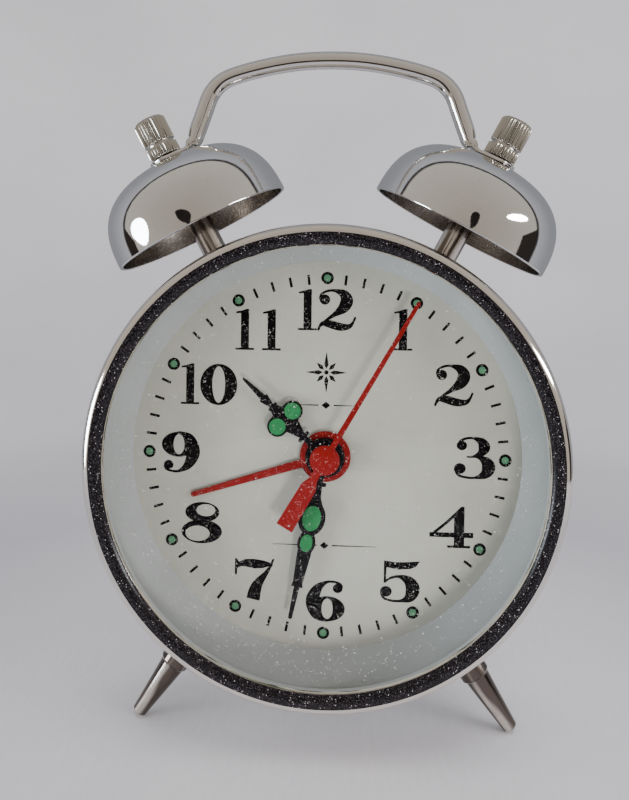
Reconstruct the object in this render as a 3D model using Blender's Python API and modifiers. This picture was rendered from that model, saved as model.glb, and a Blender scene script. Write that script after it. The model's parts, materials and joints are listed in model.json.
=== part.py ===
"""Twin-bell wind-up alarm clock, as an assembly of separate solids.

World frame: metres, +Z up, the dial faces -Y, the origin is on the floor under the middle of the clock.
Most pieces are placed in the dial frame, an empty on the case's axis in the bezel's widest plane:
x to the right, y up and z out of the dial towards the viewer, so depth behind the bezel is negative z.
"""
import math

import bmesh
import bpy
from mathutils import Matrix, Vector

MM = 0.001

# Driving dimensions.
BEZEL_RADIUS = 57.5 * MM
OPENING_RADIUS = 52.3 * MM
DRUM_RADIUS = 56.0 * MM
DRUM_WALL = 0.8 * MM
DRUM_FRONT = -2.6 * MM
DRUM_BACK = -41.0 * MM
AXIS_HEIGHT = 69.4 * MM
FRONT_Z = 4.5 * MM            # the crown of the crystal
REAR_Z = -56.0 * MM           # the ends of the winding keys
GAP = 0.3 * MM
ROUND = 40                    # facets around the case
FACE_STEPS = 6                # facets across the bezel's rounded face
DOME_STEPS = 6                # facets up each bell
DOME_POWER = 2.7              # the superellipse of a bell's section

# Dial and crystal.
DIAL_Z = -11.7 * MM
DIAL_RADIUS = 48.1 * MM
DIAL_THICKNESS = 0.4 * MM
HAND_THICKNESS = 0.4 * MM
CRYSTAL_RADIUS = 54.6 * MM
CRYSTAL_THICKNESS = 1.2 * MM

# Bells, their posts and the handle. Each bell's axis is tilted out and leans back.
BELL_RADIUS = 24.0 * MM
BELL_HEIGHT = 20.0 * MM
BELL_WALL = 0.9 * MM
BELL_TILT = math.radians(28.0)
RIM_CENTRE = Vector((33.2, 56.2, -22.7)) * MM
POST_RADIUS = 3.25 * MM
STUD_RADIUS = 1.8 * MM
NUT_RADIUS = 4.3 * MM
NUT_LENGTH = 10.7 * MM
EYE_THICKNESS = 1.2 * MM
ROD_RADIUS = 2.3 * MM
HANDLE_TOP = 100.8 * MM

# Feet.
FOOT_ANGLE = math.radians(34.7)
FOOT_FORWARD = math.radians(4.0)
FOOT_DEPTH = -18.0 * MM
REAR_FOOT_LEAN = math.radians(18.0)
REAR_FOOT_DEPTH = -35.0 * MM
FOOT_TIP_RADIUS = 1.85 * MM
FOOT_COLLAR_RADIUS = 3.75 * MM

# Movement: plates between the dial and the rear cover.
PLATE_THICKNESS = 1.0 * MM
FRONT_PLATE_Z = -17.0 * MM
BACK_PLATE_Z = -33.0 * MM
COVER_Z = -37.8 * MM
COVER_THICKNESS = 0.8 * MM
PLATE_HALF = (38.0 * MM, 37.5 * MM)
PLATE_DROP = 1.5 * MM
PLATE_CORNER = 14.0 * MM
PILLAR_PLACES = [Vector(place) * MM
                 for place in ((33.5, 28.0), (-33.5, 28.0), (14.5, -35.5), (-35.5, 8.5))]

# Places of the arbors in the dial frame.
TIME_SPRING = Vector((-21.0, -15.0)) * MM
ALARM_SPRING = Vector((25.0, -20.0)) * MM
STOP_PLACE = Vector((0.0, 30.0)) * MM
BALANCE = Vector((3.0, -30.0)) * MM
PALLET = Vector((6.5, -20.4)) * MM
HAMMER_PIVOT = Vector((31.0, 12.0)) * MM
HAMMER_HEAD = Vector((17.8, 40.5)) * MM

# Wheels: teeth of each wheel and of the pinion that it meshes with.
GREAT_TEETH, CENTRE_PINION_TEETH = 48, 8
CENTRE_TEETH, THIRD_PINION_TEETH = 48, 6
THIRD_TEETH, SECONDS_PINION_TEETH = 45, 6
SECONDS_TEETH, ESCAPE_PINION_TEETH = 42, 7
CANNON_TEETH, MINUTE_TEETH = 10, 30
MINUTE_PINION_TEETH, HOUR_TEETH = 8, 32
ALARM_TEETH, ALARM_SET_TEETH = 36, 9
ALARM_GREAT_TEETH, ALARM_PINION_TEETH = 30, 6
ESCAPE_TEETH = 12
THIRD_DISTANCE = 15.0 * MM
ESCAPE_DISTANCE = 15.2 * MM
MINUTE_DISTANCE = 10.0 * MM
ALARM_SET_DISTANCE = 18.0 * MM
ALARM_ESCAPE_DISTANCE = 18.0 * MM

# Angles of the arbors about the one that drives them, and of the hands clockwise from twelve.
THIRD_ANGLE = math.radians(25.0)
ESCAPE_ANGLE = math.radians(-50.0)
MINUTE_ANGLE = math.radians(150.0)
SET_ANGLE = math.radians(120.0)
ALARM_SET_ANGLE = math.radians(85.0)
ALARM_ESCAPE_ANGLE = math.radians(80.0)
HOUR_HAND_AT = math.radians(313.0)
MINUTE_HAND_AT = math.radians(191.6)
SECOND_HAND_AT = math.radians(30.0)
ALARM_HAND_AT = math.radians(252.6)

# Colours: red, green, blue, then roughness and metallic.
FINISHES = {
    "chrome": ((0.78, 0.78, 0.78), 0.08, 1.0),
    "steel": ((0.56, 0.56, 0.56), 0.30, 1.0),
    "brass": ((0.72, 0.53, 0.24), 0.30, 1.0),
    "crystal": ((0.92, 0.95, 0.95), 0.03, 0.0),
    "dial": ((0.62, 0.61, 0.57), 0.55, 0.0),
    "surround": ((0.55, 0.57, 0.60), 0.50, 0.0),
    "hand_black": ((0.015, 0.015, 0.015), 0.35, 0.0),
    "hand_red": ((0.60, 0.04, 0.03), 0.35, 0.0),
    "spring": ((0.20, 0.22, 0.27), 0.30, 1.0),
}


def polar(radius, angle):
    return Vector((radius * math.cos(angle), radius * math.sin(angle)))


THIRD = polar(THIRD_DISTANCE, THIRD_ANGLE)
ESCAPE = polar(ESCAPE_DISTANCE, ESCAPE_ANGLE)
MINUTE = polar(MINUTE_DISTANCE, MINUTE_ANGLE)
TIME_SET = MINUTE + polar(MINUTE_DISTANCE, SET_ANGLE)
ALARM_SET = polar(ALARM_SET_DISTANCE, ALARM_SET_ANGLE)
ALARM_ESCAPE = ALARM_SPRING + polar(ALARM_ESCAPE_DISTANCE, ALARM_ESCAPE_ANGLE)


# ---------------------------------------------------------------- making and placing objects

def clear_scene():
    for thing in list(bpy.data.objects):
        bpy.data.objects.remove(thing, do_unlink=True)


def new_collection(name):
    collection = bpy.data.collections.new(name)
    bpy.context.scene.collection.children.link(collection)
    return collection


def make_material(name):
    colour, roughness, metallic = FINISHES[name]
    material = bpy.data.materials.new(name)
    material.use_nodes = True
    shader = material.node_tree.nodes["Principled BSDF"]
    shader.inputs["Base Color"].default_value = (*colour, 1.0)
    shader.inputs["Roughness"].default_value = roughness
    shader.inputs["Metallic"].default_value = metallic
    return material


def make_empty(name, matrix):
    empty = bpy.data.objects.new(name, None)
    PARTS.objects.link(empty)
    empty.matrix_world = matrix
    return empty


def add_object(name, data, finish=None, parent=None, at=(0, 0, 0), turn=0.0):
    """A named object in the dial frame, or under another parent, turned about its own z axis."""
    thing = bpy.data.objects.new(name, data)
    PARTS.objects.link(thing)
    thing.parent = parent or DIAL_FRAME
    thing.location = at
    thing.rotation_euler = (0, 0, turn)
    if finish:
        data.materials.append(MATERIALS[finish])
    return thing


def as_tool(thing):
    """Keep a piece only as a cutter, or as a shape that is joined to another."""
    PARTS.objects.unlink(thing)
    TOOLS.objects.link(thing)
    thing.hide_render = True
    thing.display_type = 'WIRE'
    return thing


def combine(thing, operation, tools):
    for tool in tools:
        modifier = thing.modifiers.new(tool.name, 'BOOLEAN')
        modifier.operation = operation
        modifier.solver = 'EXACT'
        modifier.object = as_tool(tool)
    return thing


def join(thing, *tools):
    return combine(thing, 'UNION', tools)


def cut(thing, *tools):
    return combine(thing, 'DIFFERENCE', tools)


def at_depth(place, z):
    return Vector((place[0], place[1], z))


# ---------------------------------------------------------------- shapes

def turned(name, outline, finish, steps=32, **place):
    """A solid turned about z. The outline is (radius, height), down its outer side; it closes itself
    unless it starts and ends on the axis."""
    mesh = bpy.data.meshes.new(name)
    points = [(radius, 0, height) for radius, height in outline]
    edges = [(i, i + 1) for i in range(len(points) - 1)]
    if outline[0][0] > 0 or outline[-1][0] > 0:
        edges.append((len(points) - 1, 0))
    mesh.from_pydata(points, edges, [])
    thing = add_object(name, mesh, finish, **place)
    screw = thing.modifiers.new("turn", 'SCREW')
    screw.steps = steps
    screw.render_steps = steps
    screw.use_merge_vertices = True
    screw.merge_threshold = 0.00001
    screw.use_smooth_shade = True
    return thing


def rod(name, radius, low, high, finish, steps=16, **place):
    outline = [(0, high), (radius, high), (radius, low), (0, low)]
    return turned(name, outline, finish, steps, **place)


def flat(name, outlines, thickness, finish, **place):
    """A flat plate: 2D outlines, the first outside and the rest holes, thickened about z = 0."""
    curve = bpy.data.curves.new(name, 'CURVE')
    curve.dimensions = '2D'
    curve.fill_mode = 'BOTH'
    curve.extrude = thickness / 2
    for outline in outlines:
        spline = curve.splines.new('POLY')
        spline.points.add(len(outline) - 1)
        for point, (x, y) in zip(spline.points, outline):
            point.co = (x, y, 0, 1)
        spline.use_cyclic_u = True
    return add_object(name, to_mesh(curve), finish, **place)


def to_mesh(curve):
    """A curve's solid as a mesh with its caps welded on."""
    source = bpy.data.objects.new("source", curve)
    bpy.context.scene.collection.objects.link(source)
    evaluated = source.evaluated_get(bpy.context.evaluated_depsgraph_get())
    mesh = bpy.data.meshes.new_from_object(evaluated)
    bpy.data.objects.remove(source)
    work = bmesh.new()
    work.from_mesh(mesh)
    bmesh.ops.remove_doubles(work, verts=work.verts, dist=0.000002)
    bmesh.ops.recalc_face_normals(work, faces=work.faces)
    work.to_mesh(mesh)
    work.free()
    return mesh


def circle(radius, centre=(0, 0), count=24):
    step = 2 * math.pi / count
    return [(centre[0] + radius * math.cos(i * step), centre[1] + radius * math.sin(i * step))
            for i in range(count)]


def gear_outline(teeth, module, phase=0.0):
    """Simple tapered teeth with running clearance; a tooth is centred on the phase angle."""
    pitch = teeth * module / 2
    step = 2 * math.pi / teeth
    outline = []
    for i in range(teeth):
        middle = phase + i * step
        for share, radius in ((-0.31, pitch - module), (0, pitch + 0.85 * module), (0.31, pitch - module)):
            outline.append((radius * math.cos(middle + share * step),
                            radius * math.sin(middle + share * step)))
    return outline


def mesh_phase(angle, driver_phase, driver_teeth, teeth):
    """The phase of a wheel that lies at an angle from its driver, so that teeth fall into gaps."""
    step = 2 * math.pi / teeth
    past_tooth = (angle - driver_phase) / (2 * math.pi / driver_teeth)
    return angle + math.pi + (past_tooth - math.floor(past_tooth) + 0.5) * step


def mirrored(half):
    """An outline from its right half, given from the bottom of the axis up to the top."""
    return half + [(-x, y) for x, y in reversed(half) if x > 0]


def spiral_band(inner, outer, turns, width, per_turn):
    """The outline of a flat strip wound in a spiral."""
    count = int(turns * per_turn)
    inside, outside = [], []
    for i in range(count + 1):
        angle = 2 * math.pi * i / per_turn
        radius = inner + (outer - inner) * i / count
        inside.append(tuple(polar(radius - width / 2, angle)))
        outside.append(tuple(polar(radius + width / 2, angle)))
    return outside + inside[::-1]


def rounded_box(half_x, half_y, corner, count=4):
    outline = []
    for quarter in range(4):
        start = quarter * math.pi / 2
        centre = ((half_x - corner) * (1 if quarter in (0, 3) else -1),
                  (half_y - corner) * (1 if quarter in (0, 1) else -1))
        for i in range(count + 1):
            angle = start + i / count * math.pi / 2
            outline.append((centre[0] + corner * math.cos(angle), centre[1] + corner * math.sin(angle)))
    return outline


# ---------------------------------------------------------------- case

def make_case():
    skirt_back = -7.0 * MM
    face_middle = (BEZEL_RADIUS + OPENING_RADIUS) / 2
    half_width = (BEZEL_RADIUS - OPENING_RADIUS) / 2
    crest = 2.6 * MM
    face = []
    for i in range(FACE_STEPS + 1):
        angle = math.pi * (1 - i / FACE_STEPS)
        face.append((face_middle + half_width * math.cos(angle), crest * math.sin(angle) ** 0.8))
    bezel = face + [(BEZEL_RADIUS, skirt_back), (DRUM_RADIUS + GAP, skirt_back),
                    (DRUM_RADIUS + GAP, -0.7 * MM), (OPENING_RADIUS, -0.7 * MM)]
    turned("bezel_ring", bezel, "chrome", ROUND)

    outer, inner = DRUM_RADIUS, DRUM_RADIUS - DRUM_WALL
    drum = [(outer, DRUM_FRONT), (outer, DRUM_BACK + 2.0 * MM), (outer - 0.6 * MM, DRUM_BACK + 0.6 * MM),
            (outer - 1.6 * MM, DRUM_BACK), (inner - 1.2 * MM, DRUM_BACK + 0.5 * MM),
            (inner, DRUM_BACK + 2.0 * MM), (inner, DRUM_FRONT)]
    case_drum = turned("case_drum", drum, "chrome", ROUND)
    holes = []
    for side in (-1, 1):
        holes.append(rod(f"post_hole_{side}", 2.9 * MM, -30 * MM, 0, None, parent=BELL_FRAMES[side]))
        holes.append(rod(f"foot_hole_{side}", 2.3 * MM, -8 * MM, 8 * MM, None, parent=FOOT_FRAMES[side]))
    holes.append(rod("rear_foot_hole", 2.3 * MM, -8 * MM, 8 * MM, None, parent=FOOT_FRAMES[0]))
    cut(case_drum, *holes)

    crown = FRONT_Z
    edge_z = -2.2 * MM
    sphere = (CRYSTAL_RADIUS ** 2 + (crown - edge_z) ** 2) / (2 * (crown - edge_z))

    def dome(radius, lower=0.0):
        return crown - lower - sphere + math.sqrt(sphere ** 2 - radius ** 2)

    stops = [CRYSTAL_RADIUS * i / 5 for i in range(6)]
    outline = [(r, dome(r)) for r in stops] + [(r, dome(r, CRYSTAL_THICKNESS)) for r in stops[::-1]]
    turned("crystal", outline, "crystal", ROUND)

    surround_back = DIAL_Z - 0.1 * MM
    surround = [(54.8 * MM, -4.4 * MM), (54.8 * MM, -5.0 * MM), (DIAL_RADIUS + 1.0 * MM, surround_back),
                (DIAL_RADIUS + GAP, surround_back), (53.6 * MM, -4.4 * MM)]
    turned("dial_surround", surround, "surround", ROUND)
    flat("dial_plate", [circle(DIAL_RADIUS, count=ROUND), circle(3.5 * MM)], DIAL_THICKNESS, "dial",
         at=(0, 0, DIAL_Z - DIAL_THICKNESS / 2))

    cover_radius = DRUM_RADIUS - DRUM_WALL - GAP
    slot = regulator_slot()
    cover_holes = [circle(3.0 * MM, TIME_SPRING, 16), circle(3.0 * MM, ALARM_SPRING, 16),
                   circle(2.0 * MM, TIME_SET, 12), circle(2.0 * MM, ALARM_SET, 12),
                   circle(2.1 * MM, STOP_PLACE, 12), slot]
    cover_holes += [circle(1.5 * MM, place, 10) for place in SCREW_PLACES]
    flat("rear_cover", [circle(cover_radius, count=ROUND)] + cover_holes, COVER_THICKNESS, "steel",
         at=(0, 0, COVER_Z - COVER_THICKNESS / 2))


REGULATOR_REACH = 13.0 * MM
REGULATOR_SWING = math.radians(14.0)
SCREW_PLACES = PILLAR_PLACES[:3]


def regulator_slot():
    """An arc about the balance's axis, wide enough for the regulator's tip at both ends of its swing."""
    half_width = 1.5 * MM
    spread = REGULATOR_SWING + math.radians(10.0)
    outline = []
    for radius, sign in ((REGULATOR_REACH + half_width, 1), (REGULATOR_REACH - half_width, -1)):
        for i in range(9):
            angle = -math.pi / 2 + sign * spread * (i / 4 - 1)
            outline.append(tuple(BALANCE + polar(radius, angle)))
    return outline


# ---------------------------------------------------------------- bells, handle, feet

def bell_matrix(side):
    """A bell's own frame: origin at the middle of its rim, z out along its axis."""
    axis = Vector((side * math.sin(BELL_TILT), math.cos(BELL_TILT), 0))
    across = Vector((side * math.cos(BELL_TILT), -math.sin(BELL_TILT), 0)) * side
    third = axis.cross(across)
    turn = Matrix((across, third, axis)).transposed().to_4x4()
    place = Vector((side * RIM_CENTRE.x, RIM_CENTRE.y, RIM_CENTRE.z))
    return Matrix.Translation(place) @ turn


def foot_matrix(side):
    """A foot's own frame: origin on the drum's wall, z out along the foot."""
    if side:
        out = Vector((side * math.sin(FOOT_ANGLE), -math.cos(FOOT_ANGLE), 0)) * math.cos(FOOT_FORWARD)
        out.z = math.sin(FOOT_FORWARD)
        start = Vector((side * math.sin(FOOT_ANGLE), -math.cos(FOOT_ANGLE), 0)) * DRUM_RADIUS
        start.z = FOOT_DEPTH
    else:
        out = Vector((0, -math.cos(REAR_FOOT_LEAN), -math.sin(REAR_FOOT_LEAN)))
        start = Vector((0, -DRUM_RADIUS, REAR_FOOT_DEPTH))
    turn = out.to_track_quat('Z', 'X').to_matrix().to_4x4()
    return Matrix.Translation(start) @ turn


def bell_profile():
    """The dome is a superellipse, with a hole for the stud at its top."""
    hole = STUD_RADIUS + GAP

    def dome(radius, height, share):
        angle = share * math.pi / 2
        return (radius * math.cos(angle) ** (2 / DOME_POWER), height * math.sin(angle) ** (2 / DOME_POWER))

    shares = [i / DOME_STEPS for i in range(DOME_STEPS)]
    outer = [dome(BELL_RADIUS, BELL_HEIGHT, share) for share in shares]
    inner = [dome(BELL_RADIUS - BELL_WALL, BELL_HEIGHT - BELL_WALL, share) for share in shares]
    outer.append((hole, BELL_HEIGHT))
    inner.append((hole, BELL_HEIGHT - BELL_WALL))
    return outer[::-1] + inner


def make_bells():
    top = BELL_HEIGHT
    eye_low = top + GAP
    eye_high = eye_low + EYE_THICKNESS
    nut_low = eye_high + GAP
    collar, neck = 3.0 * MM, 3.8 * MM
    chamfer = 0.6 * MM
    stud_top = nut_low + 7.0 * MM
    bore = STUD_RADIUS + GAP
    for side, word in ((-1, "left"), (1, "right")):
        frame = BELL_FRAMES[side]
        turned(f"bell_{word}", bell_profile(), "chrome", 28, parent=frame)
        shoulder = top - BELL_WALL - GAP
        wall_hole = 2.6 * MM
        post = [(0, stud_top), (STUD_RADIUS, stud_top), (STUD_RADIUS, shoulder), (POST_RADIUS, shoulder),
                (POST_RADIUS, -8.3 * MM), (wall_hole, -8.3 * MM), (wall_hole, -18.0 * MM), (0, -18.0 * MM)]
        turned(f"bell_post_{word}", post, "chrome", 16, parent=frame)
        nut_top = nut_low + NUT_LENGTH
        nut = [(0, nut_top), (NUT_RADIUS - chamfer, nut_top), (NUT_RADIUS, nut_top - chamfer),
               (NUT_RADIUS, nut_low + neck), (NUT_RADIUS - 0.6 * MM, nut_low + neck),
               (NUT_RADIUS - 0.6 * MM, nut_low + collar), (NUT_RADIUS, nut_low + collar),
               (NUT_RADIUS, nut_low), (bore, nut_low), (bore, stud_top + GAP), (0, stud_top + GAP)]
        turned(f"bell_nut_{word}", nut, "chrome", 20, parent=frame)
        lock = [(4.6 * MM, -11.1 * MM), (4.6 * MM, -13.5 * MM), (3.35 * MM, -13.5 * MM),
                (3.35 * MM, -11.1 * MM)]
        turned(f"post_lock_nut_{word}", lock, "steel", 6, parent=frame)


def handle_points():
    """The rod's path in the plane of the handle, from the left eye over the top to the right eye."""
    half = [(36.3, 78.6), (34.8, 83.0), (33.2, 87.7), (31.35, 92.2), (26.4, 96.4), (17.85, 98.9),
            (8.9, 100.4)]
    left = [Vector((-x, y)) * MM for x, y in half]
    right = [Vector((-point.x, point.y)) for point in reversed(left)]
    return left + [Vector((0, HANDLE_TOP))] + right


def make_handle():
    eye_mid = BELL_HEIGHT + GAP + EYE_THICKNESS / 2
    eye_centre = (bell_matrix(1) @ Vector((0, 0, eye_mid)))
    curve = bpy.data.curves.new("handle", 'CURVE')
    curve.dimensions = '3D'
    curve.bevel_depth = ROD_RADIUS
    curve.bevel_resolution = 2
    curve.use_fill_caps = True
    curve.resolution_u = 2
    spline = curve.splines.new('BEZIER')
    points = handle_points()
    spline.bezier_points.add(len(points) - 1)
    for knot, point in zip(spline.bezier_points, points):
        knot.co = (point.x, point.y, eye_centre.z)
        knot.handle_left_type = knot.handle_right_type = 'AUTO'
    handle = add_object("handle", to_mesh(curve), "chrome")
    reach = 9.5 * MM
    eyes = []
    for side in (-1, 1):
        tongue = [(x * side, y) for x, y in ((-reach, 2.2 * MM), (-reach, -2.2 * MM), (0, -4.9 * MM))]
        arc = [polar(4.9 * MM, math.radians(-90 + 180 * i / 8)) for i in range(1, 8)]
        tongue += [(point.x * side, point.y) for point in arc] + [(0, 4.9 * MM)]
        eye = flat(f"eye_{side}", [tongue, circle(STUD_RADIUS + GAP, count=12)], EYE_THICKNESS, None,
                   parent=BELL_FRAMES[side], at=(0, 0, eye_mid))
        eyes.append(eye)
    join(handle, *eyes)


def make_feet():
    for side, name in ((-1, "foot_left"), (1, "foot_right"), (0, "rear_foot")):
        length = foot_length(side)
        collar_end = length * 0.45
        thread = 2.0 * MM
        shoulder = 0.5 * MM + FOOT_COLLAR_RADIUS * math.tan(FOOT_FORWARD if side else REAR_FOOT_LEAN)
        tip_bevel = 0.5 * MM
        foot = [(0, length), (FOOT_TIP_RADIUS - tip_bevel, length), (FOOT_TIP_RADIUS, length - tip_bevel),
                (FOOT_COLLAR_RADIUS - 0.45 * MM, collar_end), (FOOT_COLLAR_RADIUS, collar_end),
                (FOOT_COLLAR_RADIUS, shoulder), (thread, shoulder), (thread, -5.0 * MM), (0, -5.0 * MM)]
        turned(name, foot, "chrome", 16, parent=FOOT_FRAMES[side])


def foot_length(side):
    """The length that brings the lowest point of the foot's end down to the floor."""
    frame = foot_matrix(side)
    out = frame.to_3x3() @ Vector((0, 0, 1))
    rim_drop = (FOOT_TIP_RADIUS - 0.5 * MM) * math.sqrt(1 - out.y ** 2)
    return (AXIS_HEIGHT + frame.translation.y - rim_drop) / -out.y


# ---------------------------------------------------------------- movement

def make_plates():
    time_arbors = [(TIME_SPRING, 2.4), (ALARM_SPRING, 2.4), (THIRD, 0.9), (ESCAPE, 0.9), (BALANCE, 0.9),
                   (PALLET, 0.9), (ALARM_ESCAPE, 0.9), (HAMMER_PIVOT, 1.2), (TIME_SET, 1.6),
                   (ALARM_SET, 1.6)]
    holes = [circle(radius * MM, place, 10) for place, radius in time_arbors]
    outline = [(x, y - PLATE_DROP) for x, y in rounded_box(*PLATE_HALF, PLATE_CORNER)]
    front_holes = holes + [circle(2.0 * MM, count=12), circle(0.9 * MM, MINUTE, 10)]
    back_holes = holes + [circle(0.9 * MM, count=10), circle(2.1 * MM, STOP_PLACE, 12)]
    flat("movement_front_plate", [outline] + front_holes, PLATE_THICKNESS, "brass",
         at=(0, 0, FRONT_PLATE_Z - PLATE_THICKNESS / 2))
    flat("movement_back_plate", [outline] + back_holes, PLATE_THICKNESS, "brass",
         at=(0, 0, BACK_PLATE_Z - PLATE_THICKNESS / 2))
    low = BACK_PLATE_Z + GAP
    high = FRONT_PLATE_Z - PLATE_THICKNESS - GAP
    for number, place in enumerate(PILLAR_PLACES, 1):
        rod(f"pillar_{number}", 2.2 * MM, low, high, "brass", 12, at=at_depth(place, 0))
    for number, place in enumerate(SCREW_PLACES, 1):
        head, slot_depth = COVER_Z - COVER_THICKNESS - GAP, 0.5 * MM
        outline = [(0, -34.3 * MM), (1.1 * MM, -34.3 * MM), (1.1 * MM, head), (2.4 * MM, head),
                   (2.4 * MM, head - 1.4 * MM), (0, head - 1.4 * MM)]
        screw = turned(f"cover_screw_{number}", outline, "steel", 12, at=at_depth(place, 0))
        outline = [(-3 * MM, -0.3 * MM), (3 * MM, -0.3 * MM), (3 * MM, 0.3 * MM), (-3 * MM, 0.3 * MM)]
        slot = flat(f"slot_{number}", [outline], 2 * slot_depth, None,
                    at=at_depth(place, head - 1.4 * MM), turn=number)
        cut(screw, slot)


def wheel(name, place, teeth, module, z, thickness, phase, finish="brass", bore=0.0):
    outlines = [gear_outline(teeth, module, phase)]
    if bore:
        outlines.append(circle(bore, count=16))
    return flat(name, outlines, thickness, finish, at=at_depth(place, z))


def make_going_train():
    """Great wheel, centre wheel, third wheel, seconds wheel and escape wheel, in mesh at rest."""
    great_distance = TIME_SPRING.length
    great_module = 2 * great_distance / (GREAT_TEETH + CENTRE_PINION_TEETH)
    centre_module = 2 * THIRD_DISTANCE / (CENTRE_TEETH + THIRD_PINION_TEETH)
    third_module = 2 * THIRD_DISTANCE / (THIRD_TEETH + SECONDS_PINION_TEETH)
    seconds_module = 2 * ESCAPE_DISTANCE / (SECONDS_TEETH + ESCAPE_PINION_TEETH)
    toward_great = math.atan2(TIME_SPRING.y, TIME_SPRING.x)

    hub = 2.5 * MM
    wheel("time_great_wheel", TIME_SPRING, GREAT_TEETH, great_module, -19.8 * MM, 1.2 * MM,
          mesh_phase(toward_great, toward_great, CENTRE_PINION_TEETH, GREAT_TEETH), bore=hub)

    tube = turned("centre_wheel", [(1.6 * MM, -17.0 * MM), (1.6 * MM, -22.4 * MM), (0.9 * MM, -22.4 * MM),
                                   (0.9 * MM, -17.0 * MM)], "brass", 16)
    pinion = wheel("centre_pinion", (0, 0), CENTRE_PINION_TEETH, great_module, -19.7 * MM, 2.2 * MM,
                   toward_great, None, bore=1.2 * MM)
    disc = wheel("centre_disc", (0, 0), CENTRE_TEETH, centre_module, -21.4 * MM, 0.6 * MM, THIRD_ANGLE,
                 None, bore=1.2 * MM)
    join(tube, pinion, disc)

    third = rod("third_wheel", 0.7 * MM, -33.6 * MM, -17.4 * MM, "brass", 12, at=at_depth(THIRD, 0))
    pinion = wheel("third_pinion", THIRD, THIRD_PINION_TEETH, centre_module, -21.4 * MM, 1.8 * MM,
                   mesh_phase(THIRD_ANGLE, THIRD_ANGLE, CENTRE_TEETH, THIRD_PINION_TEETH), None)
    disc = wheel("third_disc", THIRD, THIRD_TEETH, third_module, -27.3 * MM, 0.6 * MM,
                 THIRD_ANGLE + math.pi, None)
    join(third, pinion, disc)

    seconds = rod("seconds_wheel", 0.6 * MM, -33.6 * MM, -7.6 * MM, "brass", 12)
    pinion = wheel("seconds_pinion", (0, 0), SECONDS_PINION_TEETH, third_module, -27.3 * MM, 1.8 * MM,
                   mesh_phase(THIRD_ANGLE + math.pi, THIRD_ANGLE + math.pi, THIRD_TEETH,
                              SECONDS_PINION_TEETH), None)
    disc = wheel("seconds_disc", (0, 0), SECONDS_TEETH, seconds_module, -29.7 * MM, 0.6 * MM,
                 ESCAPE_ANGLE, None)
    join(seconds, pinion, disc)

    escape = rod("escape_wheel", 0.6 * MM, -33.6 * MM, -17.4 * MM, "brass", 12, at=at_depth(ESCAPE, 0))
    pinion = wheel("escape_pinion", ESCAPE, ESCAPE_PINION_TEETH, seconds_module, -29.7 * MM, 2.0 * MM,
                   mesh_phase(ESCAPE_ANGLE, ESCAPE_ANGLE, SECONDS_TEETH, ESCAPE_PINION_TEETH), None)
    disc = flat("escape_disc", [escape_outline()], 0.6 * MM, None, at=at_depth(ESCAPE, -31.9 * MM))
    join(escape, pinion, disc)


ESCAPE_TIP = 6.4 * MM


def escape_outline():
    root, lean = 5.0 * MM, math.radians(8.0)
    outline = []
    for i in range(ESCAPE_TEETH):
        angle = 2 * math.pi * i / ESCAPE_TEETH
        outline.append(tuple(polar(root, angle)))
        outline.append(tuple(polar(ESCAPE_TIP, angle + lean)))
        outline.append(tuple(polar(ESCAPE_TIP, angle + lean + math.radians(3.0))))
        outline.append(tuple(polar(root, angle + lean + math.radians(6.0))))
    return outline


def make_escapement():
    toward = math.atan2(ESCAPE.y - PALLET.y, ESCAPE.x - PALLET.x) - math.pi / 2
    lever = [(1.5, -7.0), (1.5, -1.5), (4.6, 0.6), (4.6, 2.6), (3.8, 2.6), (0, 1.4)]
    outline = mirrored(lever)
    outline = [(x * MM, y * MM) for x, y in outline]
    pallet = flat("pallet_lever", [outline], 0.8 * MM, "steel", at=at_depth(PALLET, -31.9 * MM), turn=toward)
    join(pallet, rod("pallet_staff", 0.6 * MM, -33.6 * MM, -17.4 * MM, None, 12, at=at_depth(PALLET, 0)))

    rim = flat("balance_wheel", [circle(9.0 * MM, count=24), circle(7.6 * MM, count=24)], 1.2 * MM, "brass",
               at=at_depth(BALANCE, -24.5 * MM))
    half = 8.3 * MM
    spoke = flat("balance_spoke", [rounded_box(half, 0.9 * MM, 0.4 * MM, 2)], 0.8 * MM, None,
                 at=at_depth(BALANCE, -24.5 * MM), turn=math.radians(20))
    staff = rod("balance_staff", 0.6 * MM, -33.6 * MM, -17.4 * MM, None, 12, at=at_depth(BALANCE, 0))
    join(rim, spoke, staff)
    flat("hairspring", [spiral_band(1.5 * MM, 6.0 * MM, 4, 0.25 * MM, 12)], 0.6 * MM, "spring",
         at=at_depth(BALANCE, -27.3 * MM))

    reach = REGULATOR_REACH
    lever = [(2.6 * MM, 0), (2.2 * MM, 1.6 * MM), (1.2 * MM, 4.0 * MM), (1.2 * MM, reach + 1.2 * MM)]
    outline = mirrored([(0, -2.6 * MM)] + lever)
    regulator = flat("regulator_lever", [outline], 0.8 * MM, "steel", at=at_depth(BALANCE, -35.6 * MM),
                     turn=math.pi)
    tip = rod("regulator_tip", 0.9 * MM, -43.0 * MM, -35.4 * MM, None, 12,
              at=at_depth(BALANCE - Vector((0, reach)), 0))
    join(regulator, tip)


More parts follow.
